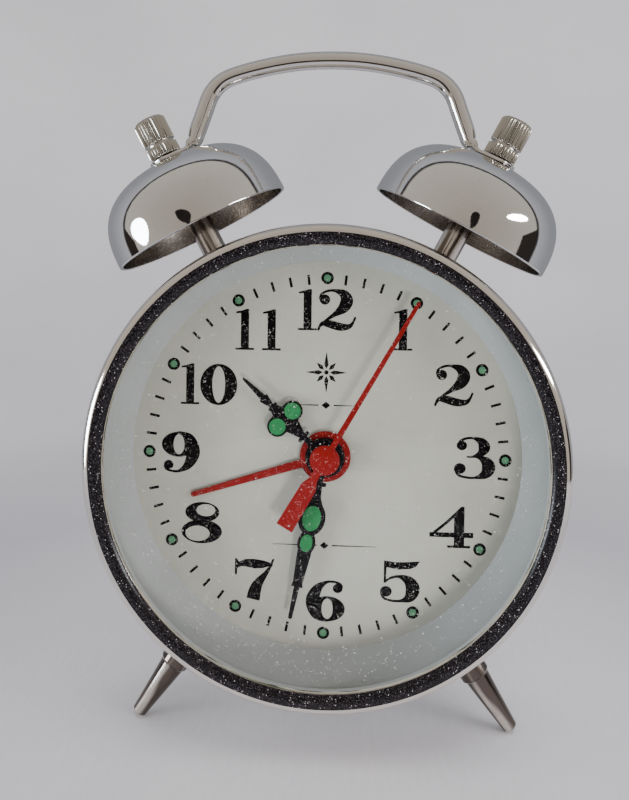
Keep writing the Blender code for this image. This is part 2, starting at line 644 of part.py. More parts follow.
def make_motion_work():
    """Cannon pinion, minute wheel and hour wheel, a twelve to one reduction, and the setting knob."""
    minute_module = 2 * MINUTE_DISTANCE / (CANNON_TEETH + MINUTE_TEETH)
    hour_module = 2 * MINUTE_DISTANCE / (MINUTE_PINION_TEETH + HOUR_TEETH)
    cannon = turned("cannon_pinion", [(1.5 * MM, -9.6 * MM), (1.5 * MM, -16.7 * MM), (0.9 * MM, -16.7 * MM),
                                      (0.9 * MM, -9.6 * MM)], "brass", 16)
    join(cannon, wheel("cannon_teeth", (0, 0), CANNON_TEETH, minute_module, -15.9 * MM, 1.2 * MM,
                       MINUTE_ANGLE, None, bore=1.2 * MM))

    minute = rod("minute_wheel", 0.75 * MM, -17.6 * MM, -13.6 * MM, "brass", 12, at=at_depth(MINUTE, 0))
    minute_phase = mesh_phase(MINUTE_ANGLE, MINUTE_ANGLE, CANNON_TEETH, MINUTE_TEETH)
    disc = wheel("minute_disc", MINUTE, MINUTE_TEETH, minute_module, -15.9 * MM, 0.8 * MM,
                 minute_phase, None, bore=0.4 * MM)
    pinion = wheel("minute_pinion", MINUTE, MINUTE_PINION_TEETH, hour_module, -14.75 * MM, 2.1 * MM,
                   MINUTE_ANGLE + math.pi, None)
    join(minute, disc, pinion)

    hour = turned("hour_wheel", [(2.2 * MM, -10.5 * MM), (2.2 * MM, -14.8 * MM), (1.8 * MM, -14.8 * MM),
                                 (1.8 * MM, -10.5 * MM)], "brass", 20)
    join(hour, wheel("hour_disc", (0, 0), HOUR_TEETH, hour_module, -14.3 * MM, 0.6 * MM,
                     mesh_phase(MINUTE_ANGLE + math.pi, MINUTE_ANGLE + math.pi, MINUTE_PINION_TEETH, HOUR_TEETH),
                     None, bore=2.0 * MM))

    arbor = turned("time_set_knob", knob_outline(-14.6 * MM), "brass", 16, at=at_depth(TIME_SET, 0))
    phase = mesh_phase(SET_ANGLE, minute_phase, MINUTE_TEETH, CANNON_TEETH)
    join(arbor, wheel("time_set_teeth", TIME_SET, CANNON_TEETH, minute_module, -15.9 * MM, 1.2 * MM,
                      phase, None))


def knob_outline(front):
    """An arbor that ends in a small turned knob behind the rear cover."""
    back, shaft, knob = -49.0 * MM, 1.2 * MM, 5.0 * MM
    face = -43.0 * MM
    return [(0, front), (shaft, front), (shaft, face), (knob - 0.5 * MM, face), (knob, face - 0.5 * MM),
            (knob, back + 0.5 * MM), (knob - 0.5 * MM, back), (0, back)]


def make_alarm():
    alarm_module = 2 * ALARM_SET_DISTANCE / (ALARM_TEETH + ALARM_SET_TEETH)
    pipe = turned("alarm_wheel", [(2.9 * MM, -11.4 * MM), (2.9 * MM, -13.4 * MM), (2.5 * MM, -13.4 * MM),
                                  (2.5 * MM, -11.4 * MM)], "brass", 20)
    join(pipe, wheel("alarm_disc", (0, 0), ALARM_TEETH, alarm_module, -13.0 * MM, 0.6 * MM,
                     ALARM_SET_ANGLE, None, bore=2.7 * MM))
    knob = turned("alarm_set_knob", knob_outline(-12.4 * MM), "brass", 16, at=at_depth(ALARM_SET, 0))
    join(knob, wheel("alarm_set_teeth", ALARM_SET, ALARM_SET_TEETH, alarm_module, -13.0 * MM, 1.0 * MM,
                     mesh_phase(ALARM_SET_ANGLE, ALARM_SET_ANGLE, ALARM_TEETH, ALARM_SET_TEETH), None))

    great_module = 2 * ALARM_ESCAPE_DISTANCE / (ALARM_GREAT_TEETH + ALARM_PINION_TEETH)
    wheel("alarm_great_wheel", ALARM_SPRING, ALARM_GREAT_TEETH, great_module, -19.8 * MM, 1.2 * MM,
          ALARM_ESCAPE_ANGLE, bore=2.5 * MM)
    escape = rod("alarm_escape_wheel", 0.6 * MM, -33.6 * MM, -17.4 * MM, "brass", 12,
                 at=at_depth(ALARM_ESCAPE, 0))
    pinion = wheel("alarm_pinion", ALARM_ESCAPE, ALARM_PINION_TEETH, great_module, -19.8 * MM, 1.8 * MM,
                   mesh_phase(ALARM_ESCAPE_ANGLE, ALARM_ESCAPE_ANGLE, ALARM_GREAT_TEETH, ALARM_PINION_TEETH), None)
    disc = flat("alarm_escape_disc", [escape_outline()], 0.8 * MM, None,
                at=at_depth(ALARM_ESCAPE, -31.9 * MM))
    join(escape, pinion, disc)

    reach = HAMMER_HEAD - HAMMER_PIVOT
    turn = math.atan2(reach.y, reach.x) - math.pi / 2
    lever = [(1.6 * MM, -2.0 * MM), (1.3 * MM, 3.0 * MM), (0.9 * MM, reach.length)]
    arm = flat("hammer_arm", [mirrored([(0, -2.6 * MM)] + lever)], 1.0 * MM, "steel",
               at=at_depth(HAMMER_PIVOT, -23.2 * MM), turn=turn)
    staff = rod("hammer_staff", 0.9 * MM, -33.6 * MM, -17.4 * MM, None, 12, at=at_depth(HAMMER_PIVOT, 0))
    head = rod("hammer_head", 3.5 * MM, -27.2 * MM, -19.2 * MM, None, 20, at=at_depth(HAMMER_HEAD, 0))
    join(arm, staff, head)

    shaft, knob = 1.5 * MM, 3.6 * MM
    button = [(0, -30.0 * MM), (shaft, -30.0 * MM), (shaft, -44.5 * MM), (knob, -44.5 * MM),
              (knob, -48.5 * MM), (knob - 0.8 * MM, -49.3 * MM), (0, -49.3 * MM)]
    turned("stop_button", button, "brass", 16, at=at_depth(STOP_PLACE, 0))


def make_winding():
    """Each spring is wound by a winged key on the arbor that passes through the rear cover."""
    for place, word in ((TIME_SPRING, "time"), (ALARM_SPRING, "alarm")):
        flat(f"{word}_mainspring", [spiral_band(3.7 * MM, 11.4 * MM, 5, 0.5 * MM, 14)], 8.0 * MM, "spring",
             at=at_depth(place, -26.4 * MM))
        outline = [(0, -17.4 * MM), (2.0 * MM, -17.4 * MM), (2.0 * MM, -43.6 * MM), (0, -43.6 * MM)]
        turned(f"{word}_winding_arbor", outline, "steel", 20, at=at_depth(place, 0))
        boss_front, boss_back = -42.0 * MM, -48.5 * MM
        boss = turned(f"{word}_key", [(2.3 * MM, boss_front), (3.9 * MM, boss_front), (3.9 * MM, boss_back),
                                      (0, boss_back), (0, -43.9 * MM), (2.3 * MM, -43.9 * MM)],
                      "brass", 16, at=at_depth(place, 0))
        wing = [(2.0, 0.0), (6.0, -1.6), (10.6, -1.6), (12.6, 0.6), (12.6, 5.2), (10.2, 8.0), (6.2, 8.0),
                (3.4, 5.6)]
        outline = mirrored([(0, 0)] + [(x * MM, y * MM) for x, y in wing] + [(0, 5.0 * MM)])
        blade = flat(f"{word}_wing", [outline], 1.8 * MM, None)
        blade.matrix_local = (Matrix.Translation(at_depth(place, boss_back + 0.5 * MM))
                              @ Matrix.Rotation(math.radians(20 if word == "time" else -25), 4, 'Z')
                              @ Matrix.Rotation(-math.pi / 2, 4, 'X'))
        join(boss, blade)


# ---------------------------------------------------------------- hands

def hand(name, half, z, at, finish, bore=0.0):
    """A flat hand from its right half outline, pointing up, then turned clockwise from twelve."""
    outlines = [mirrored([(x * MM, y * MM) for x, y in half])]
    if bore:
        outlines.append(circle(bore, count=16))
    flat(name, outlines, HAND_THICKNESS, finish, at=(0, 0, z), turn=-at)


def hub_arc(radius, start, stop, count=6):
    """Half of a round hub: points about the centre, with angles in degrees up from the x axis."""
    angles = [math.radians(start + (stop - start) * i / count) for i in range(count + 1)]
    return [(radius * math.cos(angle), radius * math.sin(angle)) for angle in angles]


def make_hands():
    alarm = [(0, -6.3)] + hub_arc(6.3, -75, 80) + [(1.0, 8.0), (0.6, 35.1), (0, 35.1)]
    hand("alarm_hand", alarm, -10.95 * MM, ALARM_HAND_AT, "hand_red", 2.6 * MM)
    hour = [(0, -4.9)] + hub_arc(4.9, -75, 75) + [(1.1, 7.6), (1.1, 10.0), (2.4, 10.6), (5.0, 12.0),
            (5.2, 13.8), (4.2, 15.4), (1.4, 16.6), (1.2, 18.6), (2.0, 20.6), (0.9, 22.8), (0.4, 28.0),
            (0, 28.0)]
    hand("hour_hand", hour, -10.0 * MM, HOUR_HAND_AT, "hand_black", 1.8 * MM)
    minute = [(0, -3.9)] + hub_arc(3.9, -75, 75) + [(1.0, 6.4), (2.2, 8.0), (1.1, 9.6), (1.8, 12.4),
              (2.5, 14.6), (2.5, 17.6), (1.8, 19.8), (1.8, 22.0), (1.8, 24.2), (1.3, 27.0), (1.1, 33.0),
              (0.4, 34.0), (0.3, 40.7), (0, 40.7)]
    hand("minute_hand", minute, -9.1 * MM, MINUTE_HAND_AT, "hand_black", 1.15 * MM)
    second = [(0, -19.3), (2.4, -19.3), (1.9, -7.0), (1.2, -4.6)] + hub_arc(3.6, -62, 78) + [
              (0.8, 5.0), (0.5, 45.0), (0, 45.0)]
    hand("second_hand", second, -7.1 * MM, SECOND_HAND_AT, "hand_red")


def make_all():
    make_case()
    make_bells()
    make_handle()
    make_feet()
    make_plates()
    make_going_train()
    make_escapement()
    make_motion_work()
    make_alarm()
    make_winding()
    make_hands()


clear_scene()
PARTS = new_collection("alarm_clock")
TOOLS = new_collection("cutters")
MATERIALS = {name: make_material(name) for name in FINISHES}
DIAL_FRAME = make_empty("dial_frame", Matrix.Translation((0, (FRONT_Z + REAR_Z) / 2, AXIS_HEIGHT))
                        @ Matrix.Rotation(math.pi / 2, 4, 'X'))
BELL_FRAMES = {side: make_empty(f"bell_frame_{side}", DIAL_FRAME.matrix_world @ bell_matrix(side))
               for side in (-1, 1)}
FOOT_FRAMES = {side: make_empty(f"foot_frame_{side}", DIAL_FRAME.matrix_world @ foot_matrix(side))
               for side in (-1, 0, 1)}
make_all()
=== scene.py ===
"""The looks of a twin-bell wind-up alarm clock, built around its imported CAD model.

Most pieces are made in the dial frame, in millimetres: x to the right, y up and z out of the dial
towards the reader, with its origin on the case's axis in the plane where the bezel meets the drum.
Bells and feet have frames of their own, with z along each one's axis.
"""
import json
import math

import bmesh
import bpy
import numpy as np
from mathutils import Matrix, Vector


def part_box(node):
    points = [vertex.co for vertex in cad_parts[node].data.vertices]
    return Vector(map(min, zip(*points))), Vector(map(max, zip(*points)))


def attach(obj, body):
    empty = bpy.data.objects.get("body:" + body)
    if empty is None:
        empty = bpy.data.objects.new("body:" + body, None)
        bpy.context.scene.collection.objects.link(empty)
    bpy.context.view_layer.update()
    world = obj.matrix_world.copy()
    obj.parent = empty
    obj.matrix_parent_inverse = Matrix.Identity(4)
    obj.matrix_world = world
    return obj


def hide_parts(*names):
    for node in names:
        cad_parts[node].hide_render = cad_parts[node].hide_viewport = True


MM = 0.001
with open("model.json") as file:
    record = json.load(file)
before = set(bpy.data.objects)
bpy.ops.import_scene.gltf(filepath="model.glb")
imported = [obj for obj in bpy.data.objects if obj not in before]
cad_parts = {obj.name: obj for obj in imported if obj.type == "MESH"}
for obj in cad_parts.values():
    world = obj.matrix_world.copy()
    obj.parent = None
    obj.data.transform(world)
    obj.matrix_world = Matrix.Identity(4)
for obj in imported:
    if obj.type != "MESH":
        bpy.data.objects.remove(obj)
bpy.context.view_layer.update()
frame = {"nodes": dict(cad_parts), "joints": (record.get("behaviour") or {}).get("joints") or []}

# ---------------------------------------------------------------- places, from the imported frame
BEZEL_LOW, BEZEL_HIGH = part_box("bezel_ring")
BEZEL_RADIUS = (BEZEL_HIGH.x - BEZEL_LOW.x) / 2 / MM
BEZEL_CREST = 2.6
AXIS_HEIGHT = (BEZEL_LOW.z + BEZEL_HIGH.z) / 2
DIAL_FRAME = (Matrix.Translation((0, BEZEL_LOW.y + BEZEL_CREST * MM, AXIS_HEIGHT))
              @ Matrix.Rotation(math.pi / 2, 4, 'X'))
JOINTS = {joint["name"]: joint for joint in frame["joints"]}


def joint_place(name):
    """Where a joint's axis crosses the dial frame's plane, in its millimetres."""
    x, _, z = JOINTS[name]["pos_m"]
    return Vector((x, z - AXIS_HEIGHT)) / MM


def dial_frame_at(place, turn=0.0):
    """The dial frame moved to a place in its plane, and turned there."""
    move = Matrix.Translation((place[0] * MM, place[1] * MM, 0))
    return DIAL_FRAME @ move @ Matrix.Rotation(turn, 4, 'Z')


# The case, dial and crystal, repeated from the CAD source in millimetres.
OPENING_RADIUS = 52.3
DRUM_RADIUS = 56.0
DIAL_Z = -11.7
DIAL_RADIUS = 48.1
CRYSTAL_RADIUS = 54.6
CRYSTAL_CROWN = 4.5
CRYSTAL_EDGE = -2.2
BELL_RADIUS, BELL_HEIGHT, BELL_WALL, DOME_POWER = 23.94, 19.97, 0.88, 2.7
BELL_TILT = math.radians(28.0)
RIM_CENTRE = Vector((33.2, 56.2, -22.7))
FOOT_ANGLE, FOOT_FORWARD, FOOT_DEPTH = math.radians(34.7), math.radians(4.0), -18.0
REAR_FOOT_LEAN, REAR_FOOT_DEPTH = math.radians(18.0), -35.0

# Angles of the hands, clockwise from twelve, and their heights.
HANDS_AT = {"hour": 313.0, "minute": 191.6, "second": 30.0, "alarm": 252.6}
HAND_Z = {"alarm": -10.95, "hour": -10.0, "minute": -9.1, "second": -7.1}
HAND_THICKNESS = 0.4


def bell_frame(side):
    """The middle of a bell's rim, with z up its axis: side is -1 for the left bell and 1 for the right."""
    axis = Vector((side * math.sin(BELL_TILT), math.cos(BELL_TILT), 0))
    across = Vector((math.cos(BELL_TILT), -side * math.sin(BELL_TILT), 0))
    turn = Matrix((across, axis.cross(across), axis)).transposed().to_4x4()
    place = Vector((side * RIM_CENTRE.x, RIM_CENTRE.y, RIM_CENTRE.z))
    return DIAL_FRAME @ Matrix.Translation(place * MM) @ turn


def foot_frame(side):
    """Where a foot leaves the drum, with z down its axis: side is 0 for the rear foot."""
    if side:
        radial = Vector((side * math.sin(FOOT_ANGLE), -math.cos(FOOT_ANGLE), 0))
        out = radial * math.cos(FOOT_FORWARD)
        out.z = math.sin(FOOT_FORWARD)
        start = radial * DRUM_RADIUS
        start.z = FOOT_DEPTH
    else:
        out = Vector((0, -math.cos(REAR_FOOT_LEAN), -math.sin(REAR_FOOT_LEAN)))
        start = Vector((0, -DRUM_RADIUS, REAR_FOOT_DEPTH))
    turn = out.to_track_quat('Z', 'X').to_matrix().to_4x4()
    return DIAL_FRAME @ Matrix.Translation(start * MM) @ turn


# ---------------------------------------------------------------- materials

OWN_FRAME = "own_frame"


class Shader:
    """A material's node tree, with short calls for the nodes that these materials share."""

    def __init__(self, name):
        self.material = bpy.data.materials.new(name)
        self.material.use_nodes = True
        self.nodes = self.material.node_tree.nodes
        self.links = self.material.node_tree.links
        self.surface = self.nodes["Principled BSDF"]
        self.coordinates = self.nodes.new("ShaderNodeTexCoord").outputs["Object"]

    def use_own_frame(self):
        """Patterns follow a turned piece's own axis, which settle() keeps in its points."""
        own = self.node("ShaderNodeAttribute")
        own.attribute_name = OWN_FRAME
        self.coordinates = own.outputs["Vector"]
        return self

    def set(self, **values):
        for name, value in values.items():
            self.surface.inputs[name.replace("_", " ")].default_value = value
        return self

    def drive(self, socket, source):
        self.links.new(source, self.surface.inputs[socket])

    def node(self, kind, **values):
        """A new node with these values on its sockets."""
        node = self.nodes.new(kind)
        for name, value in values.items():
            node.inputs[name.replace("_", " ")].default_value = value
        return node

    def stretched(self, scale):
        """The coordinates scaled along each axis: a pattern is drawn out along an axis with a low scale."""
        mapping = self.node("ShaderNodeMapping", Scale=scale)
        self.links.new(self.coordinates, mapping.inputs["Vector"])
        return mapping.outputs["Vector"]

    def distance(self, scale):
        """The distance from the origin, along the axes whose scale is 1."""
        length = self.node("ShaderNodeVectorMath")
        length.operation = 'LENGTH'
        self.links.new(self.stretched(scale), length.inputs[0])
        return length.outputs["Value"]

    def noise(self, scale, detail=2.0, roughness=0.5, vector=None):
        """Noise whose scale is its cells in a metre."""
        node = self.node("ShaderNodeTexNoise", Scale=scale, Detail=detail, Roughness=roughness)
        self.links.new(vector or self.coordinates, node.inputs["Vector"])
        return node.outputs["Fac"]

    def cells(self, scale):
        """Distance from the middle of the nearest cell."""
        node = self.node("ShaderNodeTexVoronoi", Scale=scale)
        self.links.new(self.coordinates, node.inputs["Vector"])
        return node.outputs["Distance"]

    def remap(self, source, low, high, to_low=0.0, to_high=1.0):
        node = self.node("ShaderNodeMapRange", From_Min=low, From_Max=high, To_Min=to_low, To_Max=to_high)
        self.links.new(source, node.inputs["Value"])
        return node.outputs["Result"]

    def maths(self, operation, first, second):
        node = self.nodes.new("ShaderNodeMath")
        node.operation = operation
        for socket, value in zip(node.inputs, (first, second)):
            if isinstance(value, (int, float)):
                socket.default_value = value
            else:
                self.links.new(value, socket)
        return node.outputs["Value"]

    def mix(self, factor, first, second):
        node = self.nodes.new("ShaderNodeMix")
        node.data_type = 'RGBA'
        self.links.new(factor, node.inputs["Factor"])
        for socket, value in (("A", first), ("B", second)):
            target = [s for s in node.inputs if s.name == socket and s.type == 'RGBA'][0]
            if isinstance(value, tuple):
                target.default_value = (*value, 1.0)
            else:
                self.links.new(value, target)
        return [s for s in node.outputs if s.type == 'RGBA'][0]

    def bump(self, height, distance, strength):
        node = self.node("ShaderNodeBump", Distance=distance, Strength=strength)
        self.links.new(height, node.inputs["Height"])
        self.drive("Normal", node.outputs["Normal"])

    def specks(self, scale, size, amount):
        """A mask of small specks: size is a speck's share of its cell, and a larger amount gives more."""
        near = self.remap(self.cells(scale), size, size * 0.5)
        some = self.remap(self.noise(scale * 0.55, 0.0), 0.62 - amount, 0.64 - amount)
        return self.maths('MULTIPLY', near, some)


def darker(colour, share):
    return tuple(channel * share for channel in colour)


def chrome(name, tint=(0.80, 0.78, 0.75), rough=(0.05, 0.12), dust=0.05):
    """Bright plating: faint smears in its gloss, fine scratches and a little dust."""
    shader = Shader(name)
    shader.set(Metallic=1.0)
    smears = shader.noise(60, 4.0, 0.6)
    shader.drive("Roughness", shader.remap(smears, 0.35, 0.75, *rough))
    marks = shader.specks(1400, 0.22, dust)
    plating_tone = shader.mix(shader.remap(smears, 0.3, 0.8), tint, darker(tint, 0.9))
    shader.drive("Base Color", shader.mix(marks, plating_tone, (0.62, 0.60, 0.56)))
    scratches = shader.noise(500, 3.0, 0.6, shader.stretched((1.0, 6.0, 1.0)))
    shader.bump(scratches, 0.00002, 0.25)
    return shader.material


def nickel(name):
    """Turned plating, with fine rings, a warmer, duller gloss than the chrome, and dark streaks along its
    axis that are painted reflections of dark things round it.
    """
    shader = Shader(name).use_own_frame()
    shader.set(Metallic=1.0)
    streaks = shader.noise(900, 3.0, 0.6, shader.stretched((1.0, 1.0, 0.04)))
    dark_reflection_streaks = shader.noise(330, 1.0, 0.5, shader.stretched((1.0, 1.0, 0.05)))
    patches = shader.noise(260, 4.0, 0.7)
    shader.drive("Roughness", shader.remap(streaks, 0.3, 0.7, 0.08, 0.22))
    plating_tone = shader.mix(shader.remap(patches, 0.35, 0.7), (0.76, 0.70, 0.63), (0.56, 0.50, 0.44))
    # Painted reflections: about half the surface is darkened in streaks along the piece's axis, standing in
    # for dark things seen in the plating.
    plating_tone = shader.mix(shader.remap(dark_reflection_streaks, 0.44, 0.56), plating_tone, (0.13, 0.105, 0.09))
    shader.drive("Base Color", plating_tone)
    shader.bump(streaks, 0.00003, 0.35)
    return shader.material


def black_band(name):
    """A black band round the bezel's face, with a fine pale grain in it and dust on it."""
    shader = Shader(name)
    shader.set(Roughness=0.22, Specular_IOR_Level=0.25)
    grain = shader.remap(shader.noise(3600, 1.0), 0.60, 0.72, 0.0, 0.08)
    dust = shader.specks(2100, 0.26, 0.04)
    fine = shader.specks(3800, 0.34, 0.25)
    base = shader.mix(grain, (0.003, 0.0022, 0.003), (0.30, 0.24, 0.30))
    base = shader.mix(fine, base, (0.11, 0.095, 0.11))
    shader.drive("Base Color", shader.mix(dust, base, (0.60, 0.57, 0.58)))
    return shader.material


def glass(name):
    """Clear glass with dust and hairs on it. It is see-through by mixing, so that light reaches the dial,
    and mirrors more where it is seen at a slant; where there is dust the surface is dull and solid."""
    shader = Shader(name)
    dust = shader.maths('MAXIMUM', shader.specks(620, 0.15, 0.06), shader.specks(1500, 0.20, 0.06))
    hairs = shader.remap(shader.maths('ABSOLUTE', shader.maths('SUBTRACT', shader.noise(150, 1.0), 0.5), 0),
                         0.0012, 0.0004)
    some = shader.remap(shader.noise(420, 0.0), 0.66, 0.68)
    dust = shader.maths('MAXIMUM', dust, shader.maths('MULTIPLY', hairs, some))
    facing = shader.node("ShaderNodeLayerWeight", Blend=0.5)
    steep = shader.maths('POWER', facing.outputs["Facing"], 4.0)
    mirror = shader.remap(steep, 0.0, 1.0, 0.004, 0.50)
    shader.drive("Base Color", shader.mix(dust, (1.0, 1.0, 1.0), (0.80, 0.79, 0.74)))
    shader.drive("Metallic", shader.maths('SUBTRACT', 1.0, dust))
    shader.drive("Roughness", shader.remap(dust, 0.0, 1.0, 0.03, 0.8))
    clear = shader.node("ShaderNodeBsdfTransparent")
    whole = shader.node("ShaderNodeMixShader")
    shader.links.new(shader.maths('MAXIMUM', shader.maths('MULTIPLY', dust, 0.55), mirror),
                     whole.inputs["Fac"])
    shader.links.new(clear.outputs["BSDF"], whole.inputs[1])
    shader.links.new(shader.surface.outputs["BSDF"], whole.inputs[2])
    shader.links.new(whole.outputs["Shader"], shader.nodes["Material Output"].inputs["Surface"])
    return shader.material


def enamel(name, colour, spread, rough, shine, specks=0.0, speck_colour=(0.60, 0.58, 0.56)):
    """Paint with a soft variation, a fine tooth and, on dark paint, pale specks."""
    shader = Shader(name)
    patches = shader.noise(70, 4.0, 0.6)
    fine = shader.noise(2400, 2.0)
    base = shader.mix(shader.remap(patches, 0.3, 0.7), colour, darker(colour, 1 - 2 * spread))
    if specks:
        base = shader.mix(shader.specks(3000, 0.26, specks), base, speck_colour)
    shader.drive("Base Color", base)
    shader.drive("Roughness", shader.remap(fine, 0.3, 0.7, rough - 0.06, rough + 0.08))
    shader.set(Specular_IOR_Level=shine)
    shader.bump(fine, 0.00001, 0.3)
    return shader.material


def lume(name, colour):
    """Granular luminous paint."""
    shader = Shader(name)
    grains = shader.cells(5200)
    patches = shader.noise(900, 3.0, 0.6)
    base = shader.mix(shader.remap(patches, 0.3, 0.7), colour, darker(colour, 0.72))
    pale = tuple(min(1.0, channel * 1.3 + 0.02) for channel in colour)
    shader.drive("Base Color", shader.mix(shader.remap(grains, 0.5, 0.8, 0.0, 0.5), base, pale))
    shader.set(Roughness=0.75, Specular_IOR_Level=0.2)
    shader.bump(grains, 0.00006, 0.5)
    return shader.material


def metal(name, colour, rough, grain=(1.0, 1.0, 1.0), scale=900):
    """Plain worked metal, with its grain drawn out along one way."""
    shader = Shader(name)
    shader.set(Metallic=1.0)
    streaks = shader.noise(scale, 3.0, 0.6, shader.stretched(grain))
    patches = shader.noise(120, 3.0, 0.6)
    shader.drive("Base Color", shader.mix(shader.remap(patches, 0.3, 0.7), colour, darker(colour, 0.9)))
    shader.drive("Roughness", shader.remap(streaks, 0.3, 0.7, rough - 0.05, rough + 0.05))
    shader.bump(streaks, 0.00002, 0.3)
    return shader.material


def spun(name, colour, rough):
    """Metal spun or brushed in rings about the case's axis."""
    shader = Shader(name)
    shader.set(Metallic=1.0)
    rings = shader.noise(1600, 2.0, 0.6, shader.distance((1.0, 0.0, 1.0)))
    patches = shader.noise(45, 4.0, 0.65)
    shader.drive("Base Color", shader.mix(shader.remap(patches, 0.3, 0.7), colour, darker(colour, 0.86)))
    shader.drive("Roughness", shader.remap(rings, 0.3, 0.7, rough - 0.05, rough + 0.08))
    shader.bump(rings, 0.00002, 0.35)
    return shader.material


MATERIALS = {
    "chrome": chrome("bright_chrome"),
    "rim": chrome("rim_chrome", tint=(0.84, 0.80, 0.74)),
    "knurl": chrome("knurled_chrome", tint=(0.52, 0.50, 0.45), rough=(0.17, 0.25)),
    "knob": chrome("knob_nickel", tint=(0.76, 0.71, 0.62), rough=(0.08, 0.16)),
    "inside": metal("bell_inside", (0.42, 0.38, 0.34), 0.25),
    "bell": chrome("bell_chrome", tint=(0.80, 0.79, 0.77), rough=(0.03, 0.07), dust=0.02),
    "nickel": nickel("turned_nickel"),
    "band": black_band("black_band"),
    "glass": glass("crystal_glass"),
    "dial": enamel("dial_enamel", (0.485, 0.49, 0.43), 0.05, 0.45, 0.3),
    "flange": enamel("flange_enamel", (0.35, 0.372, 0.368), 0.05, 0.42, 0.3),
    "ink": enamel("dial_ink", (0.003, 0.0025, 0.003), 0.1, 0.45, 0.05, specks=0.06),
    "dot": lume("dot_lume", (0.085, 0.235, 0.125)),
    "lume": lume("hand_lume", (0.022, 0.20, 0.065)),
    "red": enamel("red_enamel", (0.22, 0.006, 0.006), 0.08, 0.38, 0.2, specks=0.02,
                  speck_colour=(0.75, 0.30, 0.25)),
    "black": enamel("black_enamel", (0.004, 0.003, 0.004), 0.1, 0.30, 0.2, specks=0.02),
    "cover": spun("cover_steel", (0.60, 0.59, 0.57), 0.26),
    "brass": metal("movement_brass", (0.72, 0.52, 0.23), 0.28),
    "steel": metal("movement_steel", (0.50, 0.50, 0.50), 0.30),
    "blued": metal("blued_spring", (0.10, 0.13, 0.24), 0.28),
}


# ---------------------------------------------------------------- making pieces

def settle(thing, finish, body, matrix, replaced=(), extra=()):
    """Gives a piece its materials and place, and lets it ride on its CAD body."""
    for key in (finish, *extra):
        thing.data.materials.append(MATERIALS[key])
    bpy.context.scene.collection.objects.link(thing)
    mesh = thing.data
    points = np.empty(3 * len(mesh.vertices), np.float32)
    mesh.vertices.foreach_get("co", points)
    mesh.attributes.new(OWN_FRAME, 'FLOAT_VECTOR', 'POINT').data.foreach_set("vector", points)
    mesh.transform(matrix)
    mesh.transform(Matrix.Translation((0, 0, -AXIS_HEIGHT)))
    thing.matrix_world = Matrix.Translation((0, 0, AXIS_HEIGHT))
    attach(thing, body)
    if replaced:
        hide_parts(*replaced)
    return thing


def mesh_piece(name, points, faces, finish, body="case", matrix=None, replaced=(), extra=(), angle=30):
    """A mesh piece from points in millimetres, smooth but for edges sharper than the angle."""
    mesh = bpy.data.meshes.new(name)
    mesh.from_pydata([tuple(MM * value for value in point) for point in points], [], faces)
    mesh.update()
    mesh.shade_smooth()
    mesh.set_sharp_from_angle(angle=math.radians(angle))
    thing = bpy.data.objects.new(name, mesh)
    return settle(thing, finish, body, matrix or DIAL_FRAME, replaced, extra)


def fillet(profile, radius, steps=4, closed=True):
    """A profile with each corner rounded; a point may give its own radius as a third number."""
    result = []
    count = len(profile)
    for i, corner in enumerate(profile):
        own = corner[2] if len(corner) > 2 else radius
        here = Vector(corner[:2])
        before, after = Vector(profile[i - 1][:2]), Vector(profile[(i + 1) % count][:2])
        if own <= 0 or (not closed and i in (0, count - 1)):
            result.append(tuple(here))
            continue
        to_before, to_after = (before - here), (after - here)
        bend = to_before.angle(to_after, math.pi)
        if bend > math.radians(178):
            result.append(tuple(here))
            continue
        reach = min(own / math.tan(bend / 2), 0.45 * to_before.length, 0.45 * to_after.length)
        start, end = here + to_before.normalized() * reach, here + to_after.normalized() * reach
        for step in range(steps + 1):
            share = step / steps
            result.append(tuple(start * (1 - share) ** 2 + 2 * share * (1 - share) * here + end * share ** 2))
    return result


def lathe(name, profile, finish, steps=96, flutes=0, fluted_beyond=0, depth=0, paint=None, **place):
    """A profile of (radius, height) turned about z, down its outer side and back up the inside.
    It closes itself unless it starts and ends on the axis. Flutes cut the points beyond a radius, and
    paint(point, next_point) gives the number of the material on the band of faces between the two."""
    on_axis = profile[0][0] < 1e-6 and profile[-1][0] < 1e-6
    rows = profile[1:-1] if on_axis else profile
    points, faces, paints = [], [], []
    for radius, height in rows:
        for step in range(steps):
            angle = 2 * math.pi * step / steps
            here = radius
            if flutes and radius > fluted_beyond:
                here -= depth * (0.5 - 0.5 * math.cos(flutes * angle)) ** 0.7
            points.append((here * math.cos(angle), here * math.sin(angle), height))
    count = len(rows)
    for row in range(count - 1 if on_axis else count):
        after = (row + 1) % count
        for step in range(steps):
            turn = (step + 1) % steps
            faces.append((row * steps + step, after * steps + step, after * steps + turn, row * steps + turn))
            paints.append(paint(rows[row], rows[after]) if paint else 0)
    if on_axis:
        for end, row in ((profile[0], 0), (profile[-1], count - 1)):
            points.append((0, 0, end[1]))
            middle = len(points) - 1
            for step in range(steps):
                turn = (step + 1) % steps
                pair = (row * steps + step, row * steps + turn)
                faces.append((middle, *(pair if row == 0 else pair[::-1])))
                paints.append(0)
    thing = mesh_piece(name, points, faces, finish, **place)
    if paint:
        thing.data.polygons.foreach_set("material_index", paints)
    return thing


